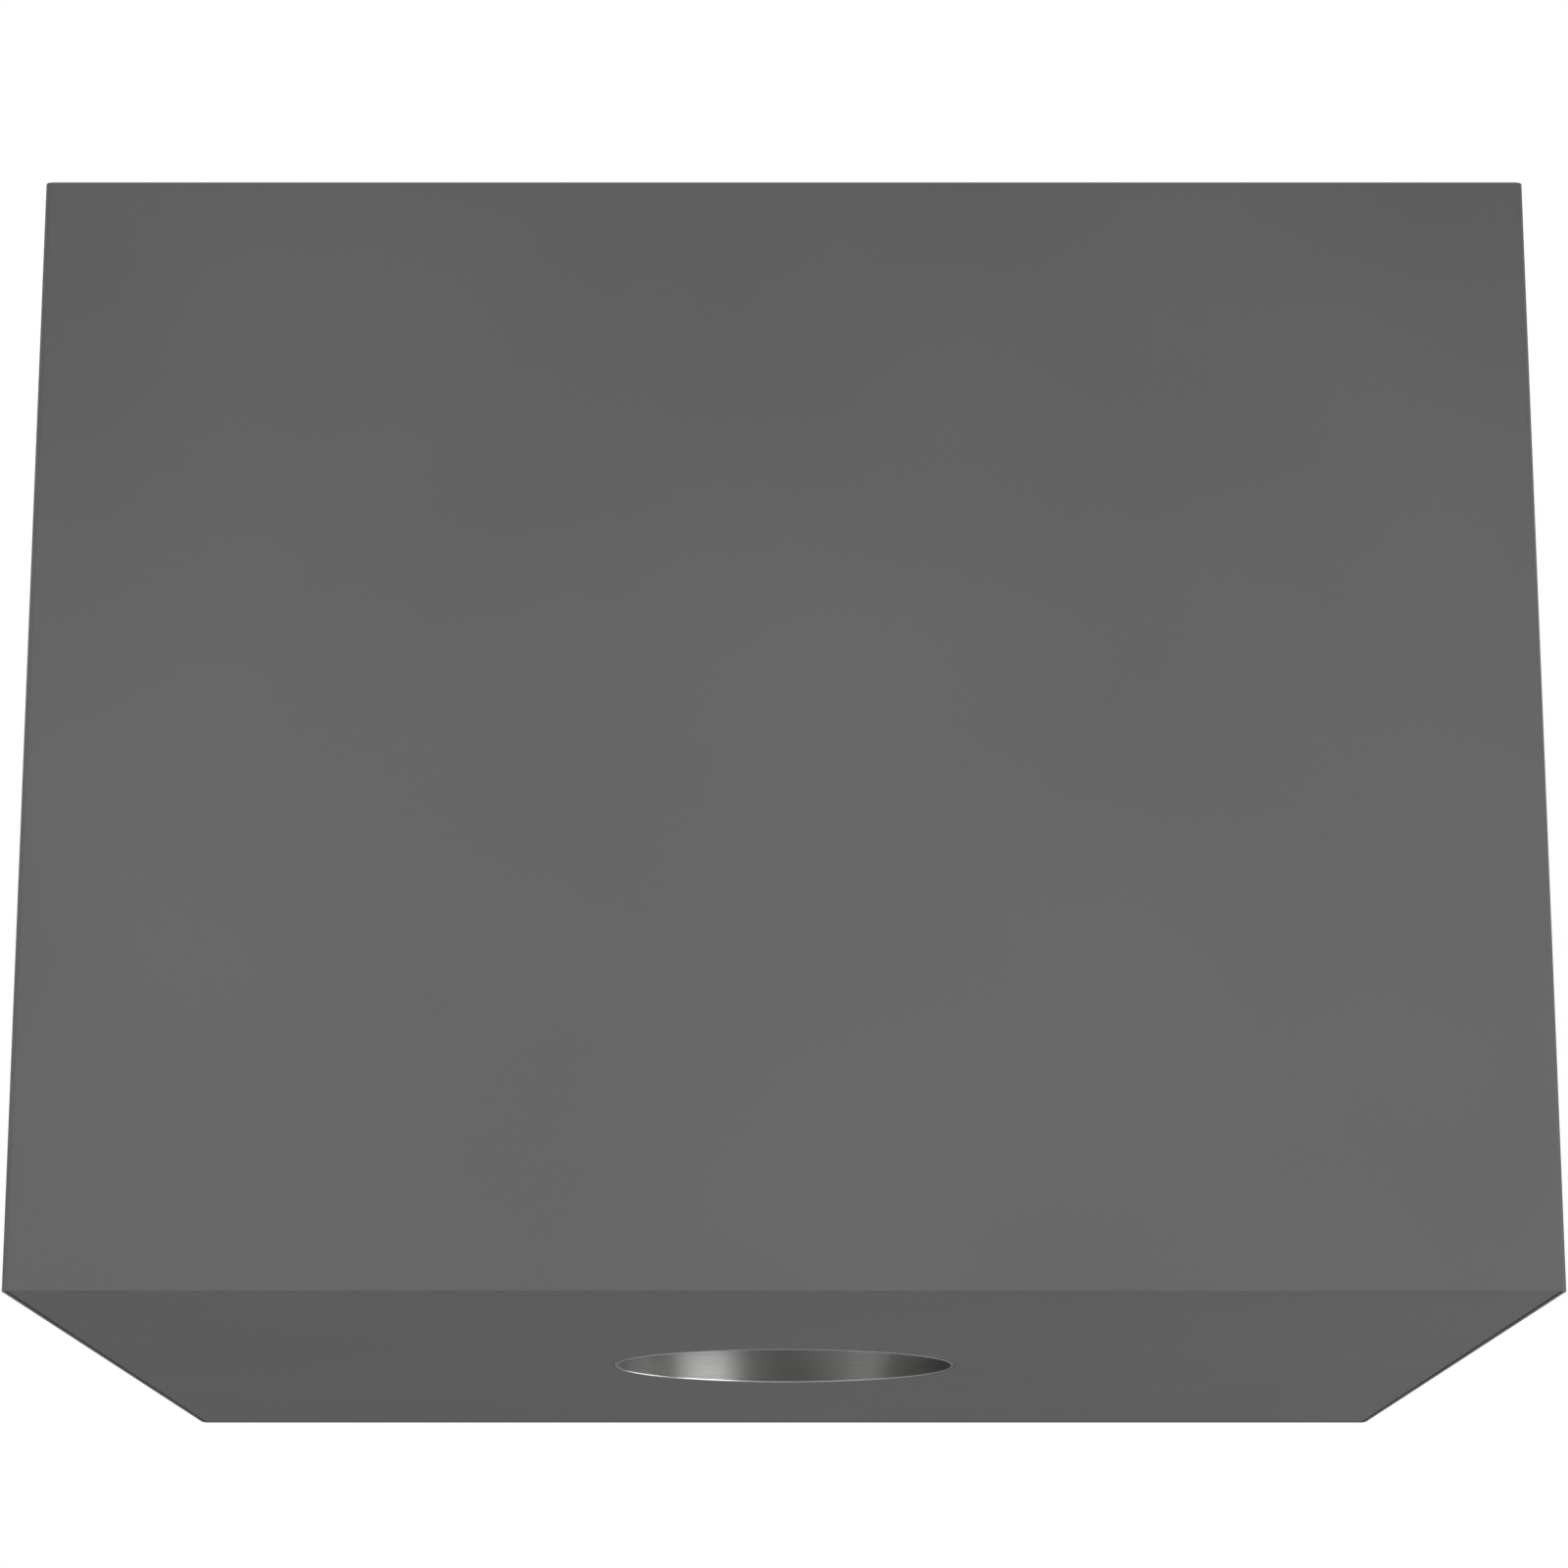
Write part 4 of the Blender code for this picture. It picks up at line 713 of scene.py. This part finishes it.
def filter_cartridge():
    foot, top = heights("filter_frame")
    outer, sheet = 75.5 * MM, MM
    lip = outer - 8 * MM
    profile = [
        (lip, foot), (outer, foot), (outer, top), (lip, top), (lip, top - sheet),
        (outer - sheet, top - sheet), (outer - sheet, foot + sheet), (lip, foot + sheet),
    ]
    piece("filter_rim", turned(eased(profile, 0.35 * MM), LARGE), "spun", ("filter_frame",))
    middle_z = middle("filter_mesh").z
    pads = {"Radius": 74.1 * MM, "Pitch": 5 * MM, "Wire": 0.42 * MM, "Rise": 0.48 * MM,
            "Height": middle_z - MM}
    grown("filter_weave", WOVEN, pads, "mill", ("filter_mesh",), smooth=60)
    pads = dict(pads, Pitch=4 * MM, Height=middle_z + MM)
    grown("filter_weave_upper", WOVEN, pads, "mill", on="filter_mesh", smooth=60)
    end, half, drop = 75.2 * MM, 25 * MM, 9 * MM
    under = foot - 0.3 * MM
    line = [(end, under), (half, under), (half, under - drop), (-half, under - drop),
            (-half, under), (-end, under)]
    strap = prism(folded(line, sheet, 2.5 * MM), -6 * MM, 6 * MM, "Y")
    round_end = turned([(0, 0), (end, 0), (end, 0.04), (0, 0.04)], MIDDLE)
    outside = carved(prism(rectangle(-0.2, -0.2, 0.2, 0.2), 0.001, 0.039), round_end)
    piece("filter_strap", carved(strap, outside), "brushed", ("filter_handle",), edge=0.2 * MM)
    spots = [(side * 71 * MM, 0, under - sheet) for side in (-1, 1)]
    fixings("strap_rivets", RIVET, spots, "-Z", "filter_handle", 0.9)


# ---- blower ----------------------------------------------------------------------------
def blower():
    shell, spigot, drum, rim = 1.5 * MM, 77 * MM, 150 * MM, 156 * MM
    foot, split = heights("blower_lower_shell")
    floor = foot + 24 * MM
    lower = [
        (spigot, foot), (spigot, floor - shell), (71 * MM, floor + 16 * MM), (72.5 * MM, floor + 16 * MM),
        (spigot + shell, floor), (drum - shell, floor), (drum - shell, split), (rim, split),
        (rim, split - shell), (drum, split - shell), (drum, floor - shell), (spigot + shell, floor - shell),
        (spigot + shell, foot + shell), (87.5 * MM, foot + shell), (87.5 * MM, foot),
    ]
    ease = [share * MM for share in (0, 6, 0, 0, 6, 4, 0, 0.4, 0.4, 1, 5, 1, 1, 0.4, 0.4)]
    piece("lower_drum", turned(eased(lower, ease, steps=4), LARGE), "galvanised", ("blower_lower_shell",))
    start, top = heights("blower_upper_shell")
    shoulder, neck = start + 65 * MM, start + 93 * MM
    upper = [
        (drum - shell, start), (drum - shell, shoulder), (spigot, neck), (spigot, top),
        (spigot + shell, top), (spigot + shell, neck + shell), (drum, shoulder + shell / 2), (drum, start + shell),
        (rim, start + shell), (rim, start),
    ]
    ease = [share * MM for share in (0, 6, 6, 0.3, 0.3, 6, 7, 1, 0.4, 0.4)]
    piece("upper_drum", turned(eased(upper, ease, steps=4), LARGE), "galvanised", ("blower_upper_shell",))

    band = 1.5 * MM
    foot, top = heights("clamp_band")
    inner, lip, outer = 156.3 * MM, 152 * MM, 157.8 * MM
    section = [
        (lip, foot), (outer, foot), (outer, top), (lip, top), (lip, top - band), (inner, top - band),
        (inner, foot + band), (lip, foot + band),
    ]
    gap = math.asin(7 * MM / outer)
    hoop = turned(eased(section, 0.4 * MM), LARGE, sweep=(gap, 2 * math.pi - gap))
    root, tip = inner + 0.3 * band, outer + 14 * MM
    ear = eased([(root, foot), (tip, foot), (tip, top), (root, top)], [0, 3 * MM, 3 * MM, 0])
    lugs = [prism(ear, *sorted((side * 7 * MM, side * 10 * MM)), "Y") for side in (-1, 1)]
    piece("band_hoop", together(hoop, *lugs), "zinc", ("clamp_band",), edge=0.15 * MM)
    screw = middle("clamp_screw")
    reach = high("clamp_screw").y
    shank = turned(threaded(1.5 * MM, -reach, reach, 0.8 * MM), 12, (screw.x, 0, screw.z), "Y")
    hexagon, ends = ring_of(2.7 * MM, 6, (screw.x, screw.z)), (reach - band, reach + 0.4 * MM)
    heads = [prism(hexagon, *sorted(side * end for end in ends), "Y") for side in (-1, 1)]
    piece("band_screw", together(shank, *heads), "zinc", ("clamp_screw",), edge=0.12 * MM)


def threaded(radius, start, stop, pitch):
    """Profile of a rod with a thread along it, drawn as ridges one pitch apart."""
    depth, count = 0.3 * pitch, max(2, round((stop - start) / pitch))
    step = (stop - start) / count
    ridges = [(0, start), (radius - depth, start)]
    for index in range(count):
        ridges += [(radius, start + (index + 0.5) * step), (radius - depth, start + (index + 1) * step)]
    return ridges + [(0, stop)]


def support():
    """Flat ring with four ears, and the threaded rods that hang it from the rails."""
    foot, top = heights("support_ring")
    ears = [Vector((side * 124.03 * MM, way * 124.03 * MM)) for side in (-1, 1) for way in (-1, 1)]
    reach, lobe, ring_r = ears[0].length, 14 * MM, 164 * MM
    outline = []
    for step in range(360):
        angle = math.radians(step)
        off = (step + 45) % 90
        off = math.radians(min(off, 90 - off))
        inside = lobe**2 - (reach * math.sin(off)) ** 2
        radius = reach * math.cos(off) + math.sqrt(inside) if inside > 0 else ring_r
        outline.append((radius * math.cos(angle), radius * math.sin(angle)))
    bore = ring_of(150.3 * MM, LARGE)
    holes = [ring_of(4.3 * MM, 24, tuple(ear)) for ear in ears]
    piece("support_plate", plate(outline, [bore, *holes], foot, top, "Z", 0.3 * MM), "zinc", ("support_ring",))
    plate_under, rail_in = 455.4 * MM, 459.8 * MM
    for index in range(1, 5):
        node = f"hanger_rod_{index}"
        centre, start, stop = middle(node), *heights(node)
        at = (centre.x, centre.y, 0)
        stud = turned(threaded(4 * MM, start, stop, 1.6 * MM), 16, at)
        nuts = []
        for seat, side in ((foot - 0.3 * MM, -1), (top + 0.3 * MM, 1), (plate_under, -1), (rail_in + 2 * MM, 1)):
            height = sorted((seat, seat + side * 6 * MM))
            nuts.append(nut(7 * MM, *height, at))
        disc = flat_ring(4.2 * MM, 16 * MM, rail_in, rail_in + 2 * MM, 0.3 * MM, SMALL, at)
        piece(f"hanger_stud_{index}", together(stud, *nuts, disc), "zinc", (node,), smooth=30)


def nut(radius, start, stop, at):
    """Hex nut with its corners turned off at both faces."""
    bm = bmesh.new()
    rings = []
    for z, reach in ((start, 0.88), (start + 0.7 * MM, 1.0), (stop - 0.7 * MM, 1.0), (stop, 0.88)):
        ring = []
        for turn in range(0, 360, 15):
            flat = math.cos(math.radians(30)) / math.cos(math.radians((turn + 30) % 60 - 30))
            here, angle = radius * min(flat, reach), math.radians(turn)
            ring.append(bm.verts.new((at[0] + here * math.cos(angle), at[1] + here * math.sin(angle), z)))
        rings.append(ring)
    for near, far in zip(rings, rings[1:]):
        for step in range(24):
            bm.faces.new((near[step - 1], near[step], far[step], far[step - 1]))
    bm.faces.new(rings[0][::-1])
    bm.faces.new(rings[-1])
    bmesh.ops.recalc_face_normals(bm, faces=bm.faces)
    return bm


# ---- impeller and motor ----------------------------------------------------------------
def impeller():
    back, thick = 170 * MM, 1.5 * MM
    hub, rim = 6.3 * MM, 110 * MM
    disc = flat_ring(hub, rim, back, back + thick, 0.3 * MM, MIDDLE)

    def air_side(radius):
        return 119 * MM + (radius - 74 * MM) / (rim - 74 * MM) * 18 * MM

    blades, stations = [], 14
    for index in range(7):
        bm = bmesh.new()
        loops = []
        for station in range(stations):
            share = station / (stations - 1)
            radius = 77 * MM + (108.5 - 77) * MM * share
            angle = 2 * math.pi * index / 7 - math.radians(38) * share**1.3
            half = 1.28 * MM / radius
            foot, top = air_side(radius) + 0.6 * MM, back + thick / 2
            corners = [(-half, foot), (half, foot), (half, top), (-half, top)]
            loops.append([
                bm.verts.new((radius * math.cos(angle + off), radius * math.sin(angle + off), z))
                for off, z in corners
            ])
        for near, far in zip(loops, loops[1:]):
            for i in range(4):
                bm.faces.new((near[i - 1], near[i], far[i], far[i - 1]))
        bm.faces.new(loops[0])
        bm.faces.new(loops[-1][::-1])
        bmesh.ops.recalc_face_normals(bm, faces=bm.faces)
        blades.append(bm)
    piece("bladed_disc", together(disc, *blades), "spun", ("impeller",), edge=0.2 * MM)
    foot, corner, edge = low("impeller_shroud").z, 119 * MM, 137 * MM
    profile = [
        (74 * MM, foot), (74 * MM, corner), (rim, edge), (rim, edge - thick), (75.5 * MM, corner - thick),
        (75.5 * MM, foot),
    ]
    ease = [share * MM for share in (0.3, 5, 0.3, 0.3, 5, 0.3)]
    piece("shroud_cone", turned(eased(profile, ease), LARGE), "spun", ("impeller_shroud",))
    start, stop, can = *heights("rotor_can"), 48 * MM
    wall = 2.5 * MM
    cup = [
        (hub, start), (can, start), (can, stop), (can - wall, stop), (can - wall, start + wall),
        (hub, start + wall),
    ]
    ease = [0, 3 * MM, 0.5 * MM, 0.5 * MM, 2 * MM, 0]
    piece("rotor_cup", turned(eased(cup, ease), MIDDLE), "enamel", ("rotor_can",))
    start, stop = heights("motor_shaft")
    thick_r, thin_r, step = 8.4 * MM, 6 * MM, back - 0.3 * MM
    nose = [(0, start), (thick_r, start), (thick_r, step), (thin_r, step), (thin_r, stop), (0, stop)]
    nose = eased(nose, [0, 1.5 * MM, 0.2 * MM, 0, 0.8 * MM, 0], closed=False)
    piece("shaft", turned(nose, SMALL), "bright", ("motor_shaft",))
    spots = [(r[0], r[1], back) for r in ring_of(30 * MM, 4)]
    fixings("impeller_screws", PAN, spots, "-Z", "impeller")
    for node in ("bearing_lower", "bearing_upper"):
        kept(node, "bright")
    kept("stator_core", "laminated")
    foot, top = heights("motor_flange")
    ring = flat_ring(8 * MM, 50 * MM, foot, top, 0.6 * MM, MIDDLE)
    piece("motor_plate", ring, "spun", ("motor_flange",))
    softened("motor_spider", "motor_cross", "galvanised", 0.3 * MM)
    top = low("motor_spider").z + 3 * MM
    spots = [(r[0], r[1], top) for r in ring_of(36 * MM, 4, turn=math.pi / 4)]
    fixings("motor_screws", PAN, spots, "+Z", "motor_spider")


# ---- outlet ----------------------------------------------------------------------------
def outlet():
    outer, wall, foot, top = 75.9 * MM, 1.5 * MM, *heights("outlet_collar")
    bore, ledge, seat = outer - wall, 424.5 * MM, 457.5 * MM
    profile = [
        (bore, foot), (bore, ledge - 2.4 * MM), (bore - 3 * MM, ledge - 0.8 * MM), (bore - 3 * MM, ledge),
        (bore, ledge), (bore, top), (outer, top), (outer, seat + 19 * MM), (outer + 1.2 * MM, seat + 17.5 * MM),
        (outer + 1.2 * MM, seat + 16.5 * MM), (outer, seat + 15 * MM), (outer, foot),
    ]
    piece("duct_collar", turned(eased(profile, 0.3 * MM), LARGE), "galvanised", ("outlet_collar",))
    start, stop = heights("collar_flange")
    ring = flat_ring(outer + 0.3 * MM, 100 * MM, start, stop, 0.3 * MM)
    piece("collar_ring", ring, "galvanised", ("collar_flange",))
    spots = [(r[0], r[1], stop) for r in ring_of(89 * MM, 8, turn=math.pi / 8)]
    fixings("collar_rivets", RIVET, spots, "+Z", "collar_flange")
    kept("damper_pin", "bright")
    pin_z, thick, knuckle, flap_r = 425.2 * MM, 0.8 * MM, 3 * MM, 73.9 * MM
    step = flap_r * 1.5 / 4
    for index, (side, way) in enumerate((("left", -1), ("right", 1))):
        straight = knuckle + 0.5 * MM
        turn = math.acos(straight / flap_r)
        arc = [-turn + 2 * turn * share / 40 for share in range(41)]
        half = [(way * flap_r * math.cos(a), flap_r * math.sin(a)) for a in arc]
        shapes = [plate(half, [], pin_z - thick / 2, pin_z + thick / 2, "Z", 0.15 * MM)]
        for place in (index, index + 2):
            start = place * step - 2 * step + 0.3 * MM
            stop = start + step - 0.6 * MM
            shapes.append(flat_ring(1.9 * MM, knuckle, start, stop, 0.2 * MM, 24, (0, 0, pin_z), "Y"))
            near, far = sorted((way * 2.4 * MM, way * 1.5 * straight))
            shapes.append(prism(rectangle(near, start, far, stop), pin_z - 0.35 * MM, pin_z + 0.35 * MM))
        piece(f"flap_{side}", together(*shapes), "mill", (f"damper_flap_{side}",))


def sleeve():
    """Aluminium duct with close-set ribs, clamped over both cuffs."""
    start, stop = heights("duct_sleeve")
    wide, narrow, thick, cuff, ribs = 78.8 * MM, 76.2 * MM, 1.2 * MM, 17 * MM, 21
    ribbed = [start + cuff + 0.3 * MM, stop - cuff - 0.3 * MM]
    pitch = (ribbed[1] - ribbed[0]) / ribs
    inner = [(wide, start), (wide, ribbed[0])]
    for index in range(ribs):
        for share, rise in ((0.25, 0.75), (0.5, 1.0), (0.75, 0.75), (1.0, 0.0)):
            if index < ribs - 1 or share < 1:
                inner.append((wide + 3.2 * MM * rise, ribbed[0] + (index + share) * pitch))
    inner += [(narrow, ribbed[1]), (narrow, stop)]
    skin = inner + [(r + thick, z) for r, z in inner[::-1]]
    piece("ribbed_duct", turned(skin, MIDDLE), "mill", ("duct_sleeve",))
    for node, name in (("hose_clamp_lower", "worm_clamp_lower"), ("hose_clamp_upper", "worm_clamp_upper")):
        foot, top = heights(node)
        radius = -low(node).x
        band = flat_ring(radius - 0.9 * MM, radius, foot, top, 0.3 * MM)
        half, near, far = 9 * MM, radius - 0.5 * MM, high(node).x
        centre, start, worm_r = (foot + top) / 2, half * 0.6, 2.6 * MM
        loop = [(near, foot + 0.9 * MM), (far, foot + 0.9 * MM), (far, top - 0.9 * MM), (near, top - 0.9 * MM)]
        box = prism(eased(loop, [0, 2 * MM, 2 * MM, 0]), -half, start, "Y")
        loop = eased([(0, start), (worm_r, start), (worm_r, half), (0, half)], [0, 0, 0.4 * MM, 0], closed=False)
        worm = turned(loop, 16, ((near + far) / 2 + MM, 0, centre), "Y")
        loop = rectangle(near, centre - 0.35 * MM, far + 3 * MM, centre + 0.35 * MM)
        slot = prism(loop, half - 0.8 * MM, half + MM, "Y")
        piece(name, together(band, box, carved(worm, slot)), "brushed", (node,), edge=0.1 * MM)


# ---- electrical ------------------------------------------------------------------------
def electrical():
    softened("terminal_box", "junction_box", "galvanised", 0.3 * MM)
    softened("terminal_box_lid", "junction_lid", "galvanised", 0.3 * MM)
    foot, top, under = low("terminal_box_lid"), high("terminal_box_lid"), low("terminal_box_lid").z
    inset = 7 * MM
    spots = [(x, y, under) for x in (foot.x + inset, top.x - inset) for y in (foot.y + inset, top.y - inset)]
    fixings("lid_screws", PAN, spots, "-Z", "terminal_box_lid", size=0.85)
    foot, top, centre = *heights("cable_gland"), middle("cable_gland")
    at, seat, bore, cap = (centre.x, centre.y, 0), 457.5 * MM, 4.8 * MM, 13 * MM
    stem = turned([(bore, foot), (8 * MM, foot), (8 * MM, seat + MM), (bore, seat + MM)], SMALL, at)
    collar = nut(cap, seat, seat + cap / 2, at)
    ribs = []
    for step in range(96):
        angle = 2 * math.pi * step / 96
        radius = cap * (0.87 + (0.045 if step % 4 < 2 else 0))
        ribs.append((radius * math.cos(angle) + centre.x, radius * math.sin(angle) + centre.y))
    grip = prism(ribs, seat + cap / 2 + 0.3 * MM, top - 4.2 * MM)
    dome = turned(eased([(bore, top - 4.3 * MM), (0.86 * cap, top - 4.3 * MM), (0.7 * cap, top), (bore, top)],
                        [0, 0, 3 * MM, 1 * MM], steps=5), 48, at)
    rings = [
        carved(solid, prism(ring_of(bore, SMALL, at[:2]), seat - MM, top + MM)) for solid in (collar, grip)
    ]
    piece("gland", together(*rings, stem, dome), "nylon", ("cable_gland",), edge=0.25 * MM)
    start, stop, centre = low("capacitor").y, high("capacitor").y, middle("capacitor")
    radius = high("capacitor").x - centre.x
    can = [
        (0, start + MM), (radius - 2.5 * MM, start + MM), (radius - 2 * MM, start), (radius - 0.6 * MM, start),
        (radius, start + MM), (radius, stop - 3 * MM), (radius - 0.5 * MM, stop - 2 * MM), (radius, stop - MM),
        (radius - MM, stop), (radius - 2.2 * MM, stop), (radius - 2.6 * MM, stop - MM), (0, stop - MM),
    ]
    piece("capacitor_can", turned(can, MIDDLE, (centre.x, 0, centre.z), "Y"), "spun", ("capacitor",))
    softened("capacitor_clip", "capacitor_strap", "zinc", 0.12 * MM)
    softened("key_housing", "key_block", "abs", 0.4 * MM)


def push_keys():
    """Round push keys with a shallow dish, each in its hole in the rear panel."""
    for index in range(1, 5):
        node = f"key_{index}"
        start, face, centre = low(node).y, high(node).y, middle(node)
        cap, flange, collar = 8 * MM, 10.4 * MM, 301.4 * MM
        profile = [
            (0, start), (3 * MM, start), (3 * MM, collar), (flange, collar), (flange, collar + 1.6 * MM),
            (cap, collar + 1.6 * MM), (cap, face - 0.9 * MM), (cap - 0.27 * MM, face - 0.27 * MM),
            (cap - 0.9 * MM, face), (cap - 1.6 * MM, face - 0.05 * MM), (cap * 0.6, face - 0.45 * MM),
            (cap * 0.3, face - 0.62 * MM), (0, face - 0.68 * MM),
        ]
        piece(f"push_key_{index}", turned(profile, 64, (centre.x, 0, centre.z), "Y"), "abs", (node,), smooth=40)


casing()
rails()
bottom()
throat()
filter_cartridge()
blower()
support()
impeller()
outlet()
sleeve()
electrical()
push_keys()


# ---- studio ----------------------------------------------------------------------------
def pale_board():
    """Painted studio floor: matt off-white, a little uneven from the roller, and glowing with painted light that
    grows stronger away from the middle.
    """
    material, tree, place = new_finish("painted_floor")
    roller = add(tree, "ShaderNodeTexNoise", {"Vector": place, "Scale": 1.5, "Detail": 2.0})
    tone = add(tree, "ShaderNodeValToRGB", {"Fac": roller}, stops=[(0.3, "#ECECEC"), (0.7, "#F0F0F0")])
    away = add(tree, "ShaderNodeVectorMath", {0: place}, operation="LENGTH").outputs["Value"]
    floor_glow = add(tree, "ShaderNodeMapRange", {  # painted glow: emission rising from 0.33 near the middle to 0.75 far off, which fades the floor into the white backdrop as a curved studio wall would, and lights the underside from below
        "Value": away, "From Min": 2.7, "From Max": 6.3, "To Min": 0.33, "To Max": 0.75,
    })
    shader = add(tree, "ShaderNodeBsdfPrincipled", {
        "Base Color": tone, "Roughness": 0.9, "Emission Color": (1, 1, 1, 1), "Emission Strength": floor_glow,
    })
    under = add(tree, "ShaderNodeNewGeometry").outputs["Backfacing"]  # open from below, to look up
    clear = add(tree, "ShaderNodeBsdfTransparent")
    faces = add(tree, "ShaderNodeMixShader", {0: under, 1: shader, 2: clear})
    add(tree, "ShaderNodeOutputMaterial", {"Surface": faces})
    return material


def soft_box(name, place, aim, size, power):
    lamp = bpy.data.lights.new(name, "AREA")
    lamp.shape, lamp.size, lamp.size_y, lamp.energy = "RECTANGLE", *size, power
    obj = bpy.data.objects.new(name, lamp)
    obj.location = place
    obj.rotation_euler = (Vector(aim) - Vector(place)).to_track_quat("-Z", "Y").to_euler()
    obj.visible_camera = False  # only its light is seen, from any side
    bpy.context.scene.collection.objects.link(obj)


def studio():
    scene = bpy.context.scene
    scene.view_settings.view_transform = "Standard"
    sheet = bpy.data.meshes.new("floor")
    sheet.from_pydata([(x, y, -2.3) for x, y in ring_of(6.0, 64)], [], [range(64)])
    sheet.materials.append(pale_board())
    floor = bpy.data.objects.new("floor", sheet)
    scene.collection.objects.link(floor)
    world = bpy.data.worlds.new("studio")
    world.use_nodes = True
    tree = world.node_tree
    tree.nodes.clear()
    seen = add(tree, "ShaderNodeLightPath").outputs["Is Camera Ray"]  # white behind, softer all round
    glow = add(tree, "ShaderNodeMapRange", {"Value": seen, "To Min": 0.12, "To Max": 1.0})
    sky = add(tree, "ShaderNodeBackground", {"Color": (1, 1, 1, 1), "Strength": glow})
    add(tree, "ShaderNodeOutputWorld", {"Surface": sky})
    scene.world = world
    soft_box("key", (-0.9, -2.8, 0.85), (0, -0.3, 0.25), (2.4, 1.4), 9.0)
    soft_box("front_strip", (-0.2, -1.35, 0.09), (-0.2, 0, 0.09), (2.0, 0.14), 17.0)
    soft_box("low_right", (1.3, -0.8, -0.24), (0, 0, 0), (1.1, 0.26), 10.0)
    soft_box("low_rear", (1.15, 0.6, -0.24), (0, 0, 0), (1.0, 0.26), 3.5)
    soft_box("low_left", (-1.3, -0.85, -0.24), (0, 0, 0), (1.0, 0.26), 0.8)
    soft_box("side_left", (-2.9, 0.6, 1.3), (0, 0, 0.25), (2.0, 2.0), 42.0)
    soft_box("side_right", (2.9, 0.8, 1.3), (0, 0, 0.25), (2.0, 2.0), 36.0)
    soft_box("rear", (0.4, 3.0, 1.4), (0, 0, 0.25), (2.4, 1.6), 42.0)
    soft_box("overhead", (0, 0.2, 3.0), (0, 0, 0.4), (2.4, 2.4), 90.0)
    lens = bpy.data.cameras.new("camera")
    lens.lens, lens.sensor_width = 100.34, 36.0
    camera = bpy.data.objects.new("camera", lens)
    camera.location = (0, -2.005, -0.193)
    camera.rotation_euler = (math.radians(90 + 13.09), 0, 0)
    scene.collection.objects.link(camera)
    scene.camera = camera


studio()
